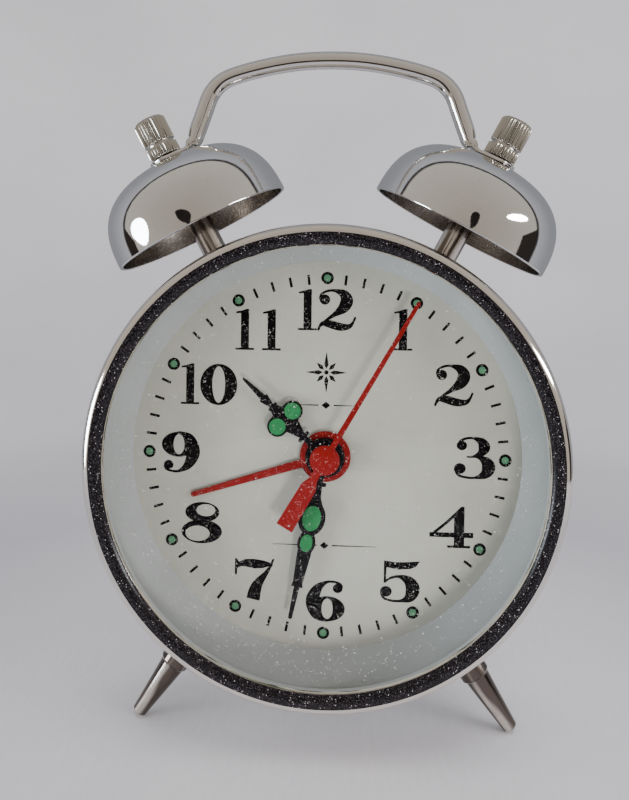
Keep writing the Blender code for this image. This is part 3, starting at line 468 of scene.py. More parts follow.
def plate(name, outlines, low, high, finish, bevel=0.08, body="case", matrix=None, replaced=()):
    """A flat piece with softened edges: outlines in the frame's plane, the first outside, then holes."""
    curve = bpy.data.curves.new(name, 'CURVE')
    curve.dimensions = '2D'
    curve.fill_mode = 'BOTH'
    curve.extrude = ((high - low) / 2 - bevel) * MM
    curve.bevel_depth = bevel * MM
    curve.bevel_resolution = 1
    curve.offset = -bevel * MM
    for outline in outlines:
        spline = curve.splines.new('POLY')
        spline.points.add(len(outline) - 1)
        for point, (x, y) in zip(spline.points, outline):
            point.co = (x * MM, y * MM, 0, 1)
        spline.use_cyclic_u = True
    source = bpy.data.objects.new("source", curve)
    bpy.context.scene.collection.objects.link(source)
    evaluated = source.evaluated_get(bpy.context.evaluated_depsgraph_get())
    mesh = bpy.data.meshes.new_from_object(evaluated)
    bpy.data.objects.remove(source)
    bpy.data.curves.remove(curve)
    work = bmesh.new()
    work.from_mesh(mesh)
    bmesh.ops.remove_doubles(work, verts=work.verts, dist=0.000002)
    bmesh.ops.recalc_face_normals(work, faces=work.faces)
    bmesh.ops.translate(work, verts=work.verts, vec=(0, 0, (low + high) / 2 * MM))
    work.to_mesh(mesh)
    work.free()
    mesh.name = name
    mesh.shade_smooth()
    mesh.set_sharp_from_angle(angle=math.radians(35))
    return settle(bpy.data.objects.new(name, mesh), finish, body, matrix or DIAL_FRAME, replaced)


def join_pieces(name, pieces):
    """One piece from several that share a frame, a body and a material."""
    first, *others = pieces
    work = bmesh.new()
    for piece in pieces:
        work.from_mesh(piece.data)
    work.to_mesh(first.data)
    work.free()
    for other in others:
        bpy.data.objects.remove(other)
    first.name = name
    return first


def oval(centre, wide, tall, count=48):
    step = 2 * math.pi / count
    return [(centre[0] + wide * math.cos(i * step), centre[1] + tall * math.sin(i * step))
            for i in range(count)]


def circle(radius, centre=(0, 0), count=64):
    return oval(centre, radius, radius, count)


def clockwise(radius, degrees):
    """A point on the dial, by its angle from twelve."""
    angle = math.radians(degrees)
    return Vector((radius * math.sin(angle), radius * math.cos(angle)))


def curve_through(points, per_span=8):
    """A smooth run through points of any size, by Catmull-Rom."""
    knots = [np.array(point, float) for point in points]
    knots = [2 * knots[0] - knots[1], *knots, 2 * knots[-1] - knots[-2]]
    result = []
    for a, b, c, d in zip(knots, knots[1:], knots[2:], knots[3:]):
        for step in range(per_span):
            t = step / per_span
            result.append(0.5 * (2 * b + (c - a) * t + (2 * a - 5 * b + 4 * c - d) * t ** 2
                                 + (3 * b - a - 3 * c + d) * t ** 3))
    result.append(knots[-2])
    return result


def normals_along(run):
    """The unit normal, in x and y, at each point of a run."""
    result = []
    for i in range(len(run)):
        ahead = run[min(i + 1, len(run) - 1)] - run[max(i - 1, 0)]
        result.append(np.array([-ahead[1], ahead[0]]) / math.hypot(ahead[0], ahead[1]))
    return result


# ---------------------------------------------------------------- case and dial

BAND_INNER, BAND_OUTER, BAND_SINK = 52.6, 55.6, 0.12
BEZEL_BACK, SKIRT_BACK = -0.7, -7.0


def make_bezel():
    """A rounded chrome ring with a sunk black band on its face, its opening's wall painted the flange's grey
    as a painted reflection of the flange, and a skirt over the drum."""
    middle = (BEZEL_RADIUS + OPENING_RADIUS) / 2
    half = (BEZEL_RADIUS - OPENING_RADIUS) / 2

    def face(radius):
        across = min(1.0, max(-1.0, (radius - middle) / half))
        return BEZEL_CREST * (1 - across * across) ** 0.4

    inner_edge = [(OPENING_RADIUS, face(OPENING_RADIUS + 0.03) * share) for share in (0.2, 0.6, 1.0)]
    inner_lip = [(r, face(r)) for r in np.linspace(OPENING_RADIUS + 0.08, BAND_INNER - 0.02, 5)]
    band = [(r, face(r) - BAND_SINK) for r in np.linspace(BAND_INNER + 0.06, BAND_OUTER - 0.06, 21)]
    outer = [(BAND_OUTER, face(BAND_OUTER))]
    stop = math.acos((BAND_OUTER - middle) / half)
    for i in range(1, 13):
        angle = stop * (1 - i / 12)
        outer.append((middle + half * math.cos(angle), BEZEL_CREST * math.sin(angle) ** 0.8))
    skirt = [(BEZEL_RADIUS, SKIRT_BACK + 0.4), (BEZEL_RADIUS - 0.4, SKIRT_BACK),
             (DRUM_RADIUS + 0.3, SKIRT_BACK), (DRUM_RADIUS + 0.3, BEZEL_BACK), (OPENING_RADIUS, BEZEL_BACK)]
    profile = inner_edge + inner_lip + band + outer + skirt

    def paint(here, after):
        # Painted reflection: the opening's wall takes the flange's grey, standing in for the flange that the
        # chrome wall reflects.
        if max(here[0], after[0]) < OPENING_RADIUS + 0.05:
            return 2
        centre = (here[0] + after[0]) / 2
        return int(BAND_INNER < centre < BAND_OUTER and min(here[1], after[1]) > 0)

    lathe("bezel", profile, "rim", 256, paint=paint, extra=("band", "flange"), replaced=("bezel_ring",),
          angle=35)


def make_drum():
    outer, inner = DRUM_RADIUS, DRUM_RADIUS - 0.8
    front, back = -2.6, -41.0
    profile = [(outer, front), (outer, back + 2.6, 1.0), (outer - 0.3, back + 1.6, 0.4),
               (outer - 0.3, back + 0.4, 0.8), (outer - 1.2, back, 0.5), (inner - 1.2, back + 0.4, 0.3),
               (inner - 1.2, back + 1.6, 0.3), (inner, back + 2.4), (inner, front)]
    lathe("drum", fillet(profile, 0.15), "chrome", 256, replaced=("case_drum",), angle=40)


def make_crystal():
    """A shallow dome, part of a sphere."""
    thickness = 1.2
    rise = CRYSTAL_CROWN - CRYSTAL_EDGE
    sphere = (CRYSTAL_RADIUS ** 2 + rise ** 2) / (2 * rise)

    def dome(radius, lower):
        return CRYSTAL_CROWN - lower - sphere + math.sqrt(sphere ** 2 - radius ** 2)

    radii = [CRYSTAL_RADIUS * i / 24 for i in range(25)]
    profile = [(r, dome(r, 0)) for r in radii] + [(r, dome(r, thickness)) for r in reversed(radii)]
    lathe("glass_dome", profile, "glass", 160, replaced=("crystal",))


def make_dial():
    """The dial with a hole for the hands' arbors, and the slope between it and the bezel."""
    outlines = [circle(DIAL_RADIUS + 0.6, count=240), circle(3.5)]
    plate("dial_disc", outlines, DIAL_Z - 0.4, DIAL_Z, "dial", 0.05, replaced=("dial_plate",))
    back = DIAL_Z - 0.1
    slope = [(53.9 + 0.9 * i / 4, -4.75 + 0.35 * math.sin(math.pi * i / 4)) for i in range(5)]
    profile = [*slope, (54.8, -5.2), (DIAL_RADIUS + 1.0, back), (DIAL_RADIUS + 0.3, back),
               (DIAL_RADIUS + 0.3, DIAL_Z + 0.03)]
    lathe("dial_flange", profile, "flange", 240, replaced=("dial_surround",))


INK_LOW, INK_HEIGHT = DIAL_Z + 0.002, 0.03
DOT_CENTRES, DOT_SIZE, DOT_HOLE, DOT_RING = 44.3, 0.88, 0.86, 1.56
TICK_LOW, TICK_HIGH, TICK_HALF = 42.75, 45.25, 0.33


def ink(name, outlines, step=0):
    """Print on the dial: thin, and a hair higher with each step, so that crossing shapes don't coincide."""
    return plate(name, outlines, INK_LOW, INK_LOW + INK_HEIGHT + 0.004 * step, "ink", 0.008)


def make_dots():
    """A tick at each minute, and at each fifth one a luminous dot in a black ring."""
    ticks, rings, dots = [], [], []
    for minute in range(60):
        angle = minute * 6
        if minute % 5:
            along, across = clockwise(1, angle), clockwise(1, angle + 90) * TICK_HALF
            ends = [along * TICK_LOW - across, along * TICK_LOW + across, along * TICK_HIGH + across,
                    along * TICK_HIGH - across]
            ticks.append(ink(f"tick_{minute:02d}", [[tuple(end) for end in ends]]))
        else:
            centre = clockwise(DOT_CENTRES, angle)
            rings.append(ink(f"dot_ring_{minute:02d}",
                             [circle(DOT_RING, centre, 40), circle(DOT_HOLE, centre, 40)]))
            dots.append(plate(f"dot_{minute:02d}", [circle(DOT_SIZE, centre, 40)], INK_LOW, INK_LOW + 0.06,
                              "dot", 0.02))
    join_pieces("minute_ticks", ticks)
    join_pieces("dot_rings", rings)
    join_pieces("luminous_dots", dots)


def stroke(points, per_span=8):
    """A pen stroke's outline through points of x, y and width."""
    run = curve_through(points, per_span)
    normals = normals_along(run)
    left = [tuple(here[:2] + normal * here[2] / 2) for here, normal in zip(run, normals)]
    right = [tuple(here[:2] - normal * here[2] / 2) for here, normal in zip(run, normals)]
    return left + right[::-1]


def bowl(centre, reach, thin, thick):
    """A ring like a fat 0: its outside and, with the sides thick and the ends thin, its inside."""
    return [oval(centre, *reach), oval(centre, reach[0] - thick, reach[1] - thin)]


def leaning_bowl(centre, reach, hole, lean):
    """A ring whose hole is off its centre, so that one side is heavier."""
    return [oval(centre, *reach), oval((centre[0] + lean[0], centre[1] + lean[1]), *hole)]


def turned_over(shapes, width):
    return [[[(width - x, 100 - y) for x, y in outline] for outline in shape] for shape in shapes]


def digits():
    """Each digit's shapes on a height of 100: a shape is an outline and its holes."""
    made = {}
    made["0"] = [bowl((46, 50), (46, 51), 6, 30)]
    made["1"] = [[[(14, 0), (34, 0), (34, 101), (27, 101), (14, 96)]], [[(1, 0), (47, 0), (47, 5), (1, 5)]],
                 [[(2, 90), (16, 91), (18, 98), (2, 94)]]]
    made["2"] = [[stroke([(6, 77, 5), (10, 89, 6), (24, 97, 6), (42, 98, 8), (62, 90, 22), (70, 74, 30),
                          (62, 56, 26), (42, 40, 12), (20, 24, 6), (6, 8, 6), (3, 0, 5)])],
                 [circle(12.5, (18, 76), 28)],
                 [stroke([(4, 10, 3), (14, 17, 12), (30, 16, 19), (48, 11, 20), (64, 9, 17), (78, 12, 11),
                          (86, 22, 6), (91, 34, 5)])]]
    made["3"] = [[stroke([(10, 80, 5), (16, 91, 6), (30, 98, 6), (46, 98, 7), (62, 90, 20), (68, 76, 26),
                          (60, 61, 16), (42, 53, 5), (30, 53, 4)])],
                 [stroke([(38, 54, 4), (56, 52, 8), (72, 42, 24), (78, 27, 30), (70, 11, 22), (50, 2.5, 7),
                          (30, 2.5, 6), (12, 8, 6), (4, 22, 5)])],
                 [circle(11.5, (19, 80), 28)], [circle(13, (15, 24), 28)]]
    made["4"] = [[[(56, 0), (80, 0), (80, 101), (74, 101), (56, 80)]],
                 [stroke([(75, 99, 7), (39, 62, 7), (3, 31, 7)], 2)],
                 [[(-1, 26), (101, 25), (101, 38), (-1, 37)]],
                 [[(40, 0), (94, 0), (94, 6), (40, 6)]]]
    made["5"] = [[[(11, 46), (16, 46), (17, 84), (45, 79), (70, 82), (82, 88), (90, 101), (60, 98),
                   (35, 97), (11, 101)]],
                 [stroke([(13, 48, 5), (26, 58, 6), (46, 62, 9), (66, 52, 24), (75, 33, 31), (68, 12, 24),
                          (50, 3, 8), (30, 2.5, 6), (12, 8, 6), (5, 22, 5)])],
                 [circle(13, (16, 25), 28)]]
    six = [[stroke([(86, 84, 5), (80, 93, 6), (64, 98, 6), (48, 96, 8), (28, 80, 22), (17, 50, 32),
                    (26, 18, 26), (44, 4, 10), (56, 2.5, 6)])],
           bowl((51, 31), (41, 31), 6, 28), [circle(11.5, (75, 82), 28)]]
    made["6"] = six
    made["7"] = [[[(0, 60), (5, 60), (6, 76), (16, 81), (30, 80), (50, 76), (70, 78), (88, 84), (92, 84),
                   (98, 101), (93, 101), (88, 92), (70, 97), (48, 100), (26, 99), (10, 92), (5, 100),
                   (0, 100)]],
                 [stroke([(92, 88, 6), (76, 64, 12), (58, 40, 24), (50, 20, 31), (46, 0, 33)])]]
    made["8"] = [leaning_bowl((47, 76), (38, 25), (21, 15), (8, 5)),
                 leaning_bowl((46, 28), (45, 29.5), (27, 19), (-9, -5))]
    made["9"] = turned_over(six, 92)
    return made


DIGIT_WIDTH = {"1": 46}
DIGIT_STRETCH = {"2": 1.03, "3": 1.10, "4": 1.04, "5": 1.11, "6": 1.06, "8": 1.12, "9": 1.05}
DIGIT_GAP = {11: 20}
NUMERAL_HEIGHT = 10.15
NUMERAL_RADIUS = {10: 34.1, 11: 35.8}
NUMERAL_SHIFT = {1: (0.6, 0.25), 3: (0.4, 0.4), 4: (-0.45, 1.25), 5: (0.7, 0.65), 6: (0.4, 0), 7: (0.5, 0),
                 8: (0.6, 0.5), 10: (0.1, 0.15), 11: (0.65, 0.1), 12: (-0.15, 0)}


def make_numerals():
    shapes = digits()
    scale = NUMERAL_HEIGHT / 100
    for hour in range(1, 13):
        text = str(hour)
        gap = DIGIT_GAP.get(hour, 3)
        widths = [DIGIT_WIDTH.get(letter, 92) for letter in text]
        start = -(sum(widths) + gap * (len(text) - 1)) / 2
        centre = clockwise(NUMERAL_RADIUS.get(hour, 36.3), hour * 30)
        centre += Vector(NUMERAL_SHIFT.get(hour, (0, 0)))
        parts = []
        for letter, width in zip(text, widths):
            stretch = DIGIT_STRETCH.get(letter, 1.0)
            for shape in shapes[letter]:
                outlines = [[(centre.x + (start + width / 2 + (x - width / 2) * stretch) * scale,
                              centre.y + (y - 50) * scale) for x, y in outline] for outline in shape]
                parts.append(ink(f"part_{hour}_{len(parts)}", outlines, len(parts)))
            start += width + gap
        join_pieces(f"numeral_{hour:02d}", parts)


def make_ornaments():
    """A plain eight-rayed star over the hands and a thin rule with a diamond below it and at the foot."""
    centre = Vector((0, 20.8))
    parts = []
    for ray in range(8):
        length = 5.2 if ray % 2 == 0 else 3.4
        along, across = clockwise(1, ray * 45), clockwise(1, ray * 45 + 90)
        ends = [centre + along * 0.9, centre + along * 1.9 + across * 0.55, centre + along * length,
                centre + along * 1.9 - across * 0.55]
        parts.append(ink(f"ray_{ray}", [[tuple(end) for end in ends]]))
    parts.append(ink("star_centre", [circle(0.55, centre, 24)]))
    join_pieces("star_ornament", parts)
    for name, height, half in (("upper", 12.6, 7.5), ("lower", -22.4, 13.0)):
        parts = [ink(f"{name}_diamond", [[(0, height - 0.9), (1.1, height), (0, height + 0.9),
                                          (-1.1, height)]])]
        for side in (-1, 1):
            rule = [(1.9 * side, height - 0.16), (half * side, height - 0.05), (half * side, height + 0.05),
                    (1.9 * side, height + 0.16)]
            parts.append(ink(f"{name}_rule_{side}", [rule]))
        join_pieces(f"{name}_rule", parts)


# ---------------------------------------------------------------- hands

def taper(low, low_width, high, high_width):
    """A stretch of a hand between two heights, whose half width changes evenly."""
    def width(y):
        share = (y - low) / (high - low)
        return low_width + (high_width - low_width) * share if 0 <= share <= 1 else 0.0
    return width


def swell(out, centre, radius, stretch=1.0):
    """A disc, or an oval stretched along the hand, whose middle is this far out from the hand's line."""
    def width(y):
        rest = radius ** 2 - ((y - centre) / stretch) ** 2
        return out + math.sqrt(rest) if rest > 0 else 0.0
    return width


def hand_outline(parts, low, high, step=0.08):
    """The outline of the parts' widest reach at each height along the hand."""
    count = int((high - low) / step)
    half = []
    for i in range(count + 1):
        y = low + (high - low) * i / count
        width = max(part(y) for part in parts)
        half.append((max(width, 0.02), y))
    return half + [(-x, y) for x, y in reversed(half)]


def hand_frame(key):
    return dial_frame_at((0, 0), -math.radians(HANDS_AT[key]))


def hand_plate(key, parts, reach, finish, bore, body):
    """A hand with a bore, on the body of the arbor or pipe that turns it."""
    low, high = HAND_Z[key] - HAND_THICKNESS / 2, HAND_Z[key] + HAND_THICKNESS / 2
    outlines = [hand_outline(parts, *reach)]
    if bore:
        outlines.append(circle(bore, count=48))
    plate(f"{key}_hand_plate", outlines, low, high, finish, 0.09, body, hand_frame(key), (f"{key}_hand",))


def lume_pads(key, ovals, body):
    """Raised pads of luminous paint on a hand: centre, half width and half length of each."""
    name, z = f"{key}_hand_lume", HAND_Z[key] + HAND_THICKNESS / 2
    pads = []
    for number, (x, y, wide, long) in enumerate(ovals):
        pads.append(plate(f"{name}_{number}", [oval((x, y), wide, long)], z - 0.05, z + 0.13, "lume", 0.06,
                          body, hand_frame(key)))
    join_pieces(name, pads)


def make_hands():
    hour = [swell(0, 0, 4.9), taper(4.2, 1.0, 7.3, 0.62), taper(6.95, 1.2, 7.75, 1.2),
            swell(1.3, 7.35, 0.46), taper(7.3, 0.65, 11.6, 2.2), taper(11.6, 2.2, 15.6, 1.8),
            swell(2.73, 13.75, 2.55), taper(15.6, 1.8, 17.4, 1.15), taper(17.4, 1.15, 18.3, 0.62),
            swell(0.95, 18.0, 0.42), taper(18.3, 0.55, 21.3, 1.36), taper(21.3, 0.82, 27.9, 0.34),
            swell(0, 27.9, 0.34)]
    hand_plate("hour", hour, (-4.9, 28.2), "black", 1.8, "hour_pipe")
    lume_pads("hour", [(-2.73, 13.75, 2.06, 2.06), (2.73, 13.75, 2.06, 2.06)], "hour_pipe")
    minute = [swell(0, 0, 3.95), taper(3.6, 1.0, 6.3, 0.6), taper(6.0, 1.3, 6.8, 1.3),
              swell(1.3, 6.4, 0.5), taper(6.6, 0.75, 10.4, 1.25), taper(9.6, 1.0, 11.6, 2.0),
              swell(0, 15.15, 3.35, 1.30), swell(0, 21.4, 2.2, 1.42), taper(18.5, 1.5, 24.2, 1.75),
              taper(24.2, 1.75, 31.6, 1.2), taper(31.6, 1.25, 32.6, 1.48), taper(32.6, 0.72, 40.4, 0.5),
              swell(0, 40.2, 0.52)]
    hand_plate("minute", minute, (-3.95, 40.7), "black", 1.15, "minute_arbor")
    lume_pads("minute", [(0, 15.15, 2.25, 3.15), (0, 21.4, 1.5, 2.15)], "minute_arbor")
    second = [swell(0, 0, 3.65), taper(-19.3, 2.2, -7.6, 1.95), taper(-7.6, 1.95, -5.4, 1.05),
              taper(-5.4, 1.05, -3.0, 1.0), taper(3.0, 0.72, 44.6, 0.5), swell(0, 44.5, 0.5)]
    hand_plate("second", second, (-19.3, 45.0), "red", 0, "seconds_arbor")
    alarm = [swell(0, 0, 6.3), taper(5.5, 1.08, 34.6, 0.62), swell(0, 34.5, 0.62)]
    hand_plate("alarm", alarm, (-6.3, 35.1), "red", 2.6, "alarm_pipe")

    hour_rim = [(4.5, -9.8), (4.5, -9.45), (3.9, -9.45), (3.9, -9.8)]
    lathe("hour_hub_rim", fillet(hour_rim, 0.14), "black", 96, body="hour_pipe")
    minute_rim = [(3.3, -8.25), (3.3, -8.9), (2.4, -8.9), (2.4, -8.25)]
    lathe("minute_hub_rim", fillet(minute_rim, 0.16), "black", 96, body="minute_arbor")
    cap = [(0, -6.55), (1.2, -6.57), (2.4, -6.66), (3.1, -6.78), (3.45, -6.95), (3.5, -7.25), (0, -7.25)]
    lathe("second_hub_cap", cap, "red", 96, body="seconds_arbor")


# ---------------------------------------------------------------- bells, handle and feet

CAD_BELL_HEIGHT, GAP, EYE_THICKNESS = 20.0, 0.3, 1.2
EYE_MID = CAD_BELL_HEIGHT + GAP + EYE_THICKNESS / 2
NUT_LOW = CAD_BELL_HEIGHT + 2 * GAP + EYE_THICKNESS
NUT_LENGTH, NUT_RADIUS, NUT_FLUTES = 10.7, 4.3, 26


def make_bell(side, word):
    """A thin bell with a rounded rim, dull inside, on a post that passes down into the case."""
    hole = 2.1

    def dome(radius, height, share):
        angle = share * math.pi / 2
        return (radius * math.cos(angle) ** (2 / DOME_POWER), height * math.sin(angle) ** (2 / DOME_POWER))

    shares = [0.5 - 0.5 * math.cos(math.pi * i / 60) for i in range(60)]
    outer = [dome(BELL_RADIUS, BELL_HEIGHT, share) for share in shares]
    outer = [point for point in outer if point[0] > hole and point[1] > 0.35] + [(hole, BELL_HEIGHT)]
    inner = [dome(BELL_RADIUS - BELL_WALL, BELL_HEIGHT - BELL_WALL, share) for share in shares[1:]]
    inner = [point for point in inner if point[0] > hole] + [(hole, BELL_HEIGHT - BELL_WALL)]
    lip = [(BELL_RADIUS, 0.3), (BELL_RADIUS - 0.09, 0.09), (BELL_RADIUS - 0.3, 0.0), (BELL_RADIUS - 0.6, 0.0),
           (BELL_RADIUS - 0.81, 0.09)]
    matrix = bell_frame(side)

    def paint(here, after):
        return int(here in inner and after in inner)

    lathe(f"{word}_bell", outer[::-1] + lip + inner, "bell", 192, paint=paint, extra=("inside",),
          replaced=(f"bell_{word}",), angle=40, matrix=matrix)

    shoulder = BELL_HEIGHT - BELL_WALL - GAP
    post = [(0, NUT_LOW + 7.0), (1.8, NUT_LOW + 7.0), (1.8, shoulder, 0), (3.25, shoulder, 0.3),
            (3.25, -8.3, 0.2), (2.6, -8.3, 0), (2.6, -18.0, 0.2), (0, -18.0)]
    lathe(f"{word}_bell_post", fillet(post, 0.15, closed=False), "nickel", 64,
          replaced=(f"bell_post_{word}",), matrix=matrix)

    collar, neck, chamfer, wide = 3.0, 3.8, 0.7, NUT_RADIUS
    nut = [(0, NUT_LENGTH), (wide - chamfer - 0.5, NUT_LENGTH), (wide - chamfer, NUT_LENGTH - 0.1),
           (wide - 0.05, NUT_LENGTH - chamfer), (wide, NUT_LENGTH - chamfer - 0.15), (wide, neck + 0.25),
           (wide - 0.05, neck + 0.1), (3.75, neck), (3.7, neck - 0.1), (3.7, collar + 0.1), (3.75, collar),
           (4.2, collar - 0.1), (4.28, collar - 0.25), (4.28, 0.3), (4.2, 0.1), (4.0, 0), (hole, 0),
           (hole, 7.3), (0, 7.3)]
    nut = [(radius, NUT_LOW + height) for radius, height in nut]
    lathe(f"{word}_bell_nut", nut, "knurl", NUT_FLUTES * 10, flutes=NUT_FLUTES, fluted_beyond=4.15,
          depth=0.45, replaced=(f"bell_nut_{word}",), angle=40, matrix=matrix)


def handle_sections():
    """The rod's centre line in the handle's plane, with half its thickness there and half its width
    across the plane: flat eyes under the nuts, round between them."""
    tilt = Vector((math.cos(BELL_TILT), -math.sin(BELL_TILT)))
    axis = Vector((math.sin(BELL_TILT), math.cos(BELL_TILT)))
    eye = Vector((RIM_CENTRE.x, RIM_CENTRE.y)) + axis * EYE_MID
    rod, eye_radius, neck_start = 2.3, 4.9, 0.8
    end = []
    for along in (4.88, 4.6, 3.9, 2.6, neck_start, -1.5, -4.0, -6.0):
        if along > neck_start:
            wide = math.sqrt(eye_radius ** 2 - along ** 2)
        else:
            wide = eye_radius - 2.2 * (neck_start - along) / 6.8
        end.append((*(eye + tilt * along), EYE_THICKNESS / 2 if along < 4.7 else 0.42, wide))
    bend = [(*(eye + tilt * -7.5 + axis * 0.9), 1.25, 2.6), (35.8, 79.8, 1.95, 2.45),
            (35.3, 81.6, 2.2, 2.35)]
    rise = [(34.8, 83.2), (34.0, 85.5), (33.1, 88.1), (32.3, 90.4), (31.15, 92.6), (29.2, 94.75),
            (26.6, 96.25), (22.4, 97.65), (17.85, 98.8), (13.4, 99.7), (8.9, 100.35), (4.45, 100.7)]
    half = end + bend + [(x, y, rod, rod) for x, y in rise]
    return [(-x, y, thick, wide) for x, y, thick, wide in half] + [(0, 100.8, rod, rod)] + half[::-1]


def make_handle():
    """A swept rod whose section goes from round to a rounded oblong where it is flattened."""
    plane = RIM_CENTRE.z
    run = curve_through(handle_sections(), 6)
    around = 40
    points, faces = [], []
    for here, normal in zip(run, normals_along(run)):
        flat = 2.0 + 2.2 * max(0.0, min(1.0, (here[3] / here[2] - 1.2) / 2))
        for step in range(around):
            angle = 2 * math.pi * step / around
            c, s = math.cos(angle), math.sin(angle)
            size = (abs(c) ** flat + abs(s) ** flat) ** (-1 / flat)
            centre = here[:2] + normal * here[2] * s * size
            points.append((centre[0], centre[1], plane + here[3] * c * size))
    for row in range(len(run) - 1):
        for step in range(around):
            turn = (step + 1) % around
            faces.append((row * around + step, row * around + turn, (row + 1) * around + turn,
                          (row + 1) * around + step))
    faces.append(tuple(range(around))[::-1])
    last = (len(run) - 1) * around
    faces.append(tuple(last + step for step in range(around)))
    mesh_piece("carrying_handle", points, faces, "chrome", replaced=("handle",), angle=50)


def make_foot(side, name, node):
    """A foot that is plain under its collar and tapers to a tip, whose lowest edge is on the ground."""
    matrix = foot_frame(side)
    out = matrix.to_3x3() @ Vector((0, 0, 1))
    tip, collar = 1.85, 3.75
    rim_drop = (tip - 0.5) * MM * math.sqrt(1 - out.z ** 2)
    length = (matrix.translation.z - rim_drop) / -out.z / MM
    collar_end = length * 0.45
    shoulder = 0.5 + collar * math.tan(FOOT_FORWARD if side else REAR_FOOT_LEAN)
    profile = [(0, length), (tip - 0.5, length, 0.1), (tip, length - 0.5, 0.15),
               (collar - 0.55, collar_end, 0.05), (collar - 0.35, collar_end - 0.35, 0.1),
               (collar, collar_end - 0.7, 0.25), (collar, shoulder, 0.2), (2.0, shoulder, 0.1),
               (2.0, -5.0, 0.2), (0, -5.0)]
    lathe(name, fillet(profile, 0.1, closed=False), "nickel", 96, matrix=matrix, replaced=(node,), angle=35)


# ---------------------------------------------------------------- the back

COVER_FRONT, COVER_BACK = -37.8, -38.6
STOP_PLACE = (0, 30)
PILLARS = [Vector(place) for place in ((33.5, 28.0), (-33.5, 28.0), (14.5, -35.5))]


def regulator_slot():
    """The outline of a bent slot that the regulator lever's end swings in."""
    reach, half_width, spread = 13.0, 1.5, math.radians(24.0)
    balance = joint_place("regulator_swing")
    outline = []
    for radius, sign in ((reach + half_width, 1), (reach - half_width, -1)):
        for i in range(21):
            angle = -math.pi / 2 + sign * spread * (i / 10 - 1)
            outline.append((balance.x + radius * math.cos(angle), balance.y + radius * math.sin(angle)))
    return outline


def make_cover():
    """A disc with holes for the controls and screws, five vents and two pressed rings."""
    holes = [circle(3.0, joint_place("time_key_wind")), circle(3.0, joint_place("alarm_key_wind")),
             circle(2.0, joint_place("time_set_turn")), circle(2.0, joint_place("alarm_set_turn")),
             circle(2.1, STOP_PLACE), regulator_slot()]
    holes += [circle(1.5, place, 32) for place in PILLARS]
    holes += [circle(0.8, (3.4 * step - 22.0, 0.384 * abs(step) - 45.0), 24) for step in range(-2, 3)]
    outlines = [circle(DRUM_RADIUS - 1.1, count=200)] + holes
    plate("back_cover", outlines, COVER_BACK, COVER_FRONT, "cover", 0.12, replaced=("rear_cover",))
    foot, crest = COVER_BACK + 0.1, COVER_BACK - 0.45
    rings = []
    for radius, wide in ((51.0, 1.0), (46.6, 0.7)):
        ring = [(radius + wide, foot), (radius + wide * 0.4, crest), (radius - wide * 0.4, crest),
                (radius - wide, foot)]
        rings.append(lathe(f"ring_{radius:.0f}", fillet(ring, 0.3), "cover", 200))
    join_pieces("cover_pressings", rings)


def make_arrows():
    """A raised bent arrow round each winding key, pointing the way that it is turned."""
    reach, start, end, tip_at = 14.2, *(math.radians(angle) for angle in (200, 300, 192))
    place = dict(low=COVER_BACK - 0.25, high=COVER_BACK + 0.1, finish="cover")
    arrows = []
    for word in ("time", "alarm"):
        centre = joint_place(f"{word}_key_wind")
        arc = [(centre.x + reach * math.cos(a), centre.y + reach * math.sin(a), 0.7)
               for a in np.linspace(start, end, 12)]
        arrows.append(plate(f"{word}_arc", [stroke(arc, 2)], **place))
        tip = centre + Vector((math.cos(tip_at), math.sin(tip_at))) * reach
        along = Vector((math.sin(start), -math.cos(start)))
        across = Vector((-along.y, along.x))
        head = [tip + along * 0.8, tip - along * 2.2 + across * 1.5, tip - along * 2.2 - across * 1.5]
        arrows.append(plate(f"{word}_arrow", [[tuple(point) for point in head]], **place))
    join_pieces("winding_arrows", arrows)


def make_screws():
    """Slotted screws into the movement's pillars."""
    high = COVER_BACK - GAP
    low = high - 1.4
    profile = [(0, -34.3), (1.1, -34.3), (1.1, high), (2.4, high), (2.4, low + 0.4), (1.9, low + 0.08),
               (1.2, low), (0, low)]
    for number, place in enumerate(PILLARS, 1):
        matrix = dial_frame_at(place, number)
        screw = lathe(f"screw_{number}", profile, "steel", 64, matrix=matrix,
                      replaced=(f"cover_screw_{number}",))
        cut_slot(screw, matrix @ Matrix.Translation((0, 0, low * MM)))


def cut_slot(screw, matrix):
    """A driver slot across the end of a screw's head, whose middle is this matrix's origin."""
    bpy.ops.mesh.primitive_cube_add(size=1)
    cutter = bpy.context.object
    cutter.matrix_world = matrix @ Matrix.Diagonal((6 * MM, 0.55 * MM, 1.2 * MM, 1))
    modifier = screw.modifiers.new("slot", 'BOOLEAN')
    modifier.object = cutter
    modifier.operation = 'DIFFERENCE'
    modifier.solver = 'EXACT'
    bpy.context.view_layer.update()
    mesh = bpy.data.meshes.new_from_object(screw.evaluated_get(bpy.context.evaluated_depsgraph_get()))
    screw.modifiers.clear()
    screw.data = mesh
    bpy.data.objects.remove(cutter)


def make_set_knobs():
    """Fluted caps over the setting arbors' own plain knobs."""
    flutes, front, back = 24, -42.95, -49.05
    cap = [(0, back - 0.1), (3.4, back - 0.1), (4.6, back), (5.25, back + 0.5), (5.3, back + 0.7),
           (5.3, front - 0.7), (5.25, front - 0.5), (4.5, front + 0.05), (1.3, front + 0.05),
           (1.3, front - 0.1), (0, front - 0.1)]
    for word in ("time", "alarm"):
        lathe(f"{word}_set_knob_grip", cap, "knob", flutes * 8, flutes=flutes, fluted_beyond=5.2, depth=0.26,
              body=f"{word}_setter", matrix=dial_frame_at(joint_place(f"{word}_set_turn")), angle=40)


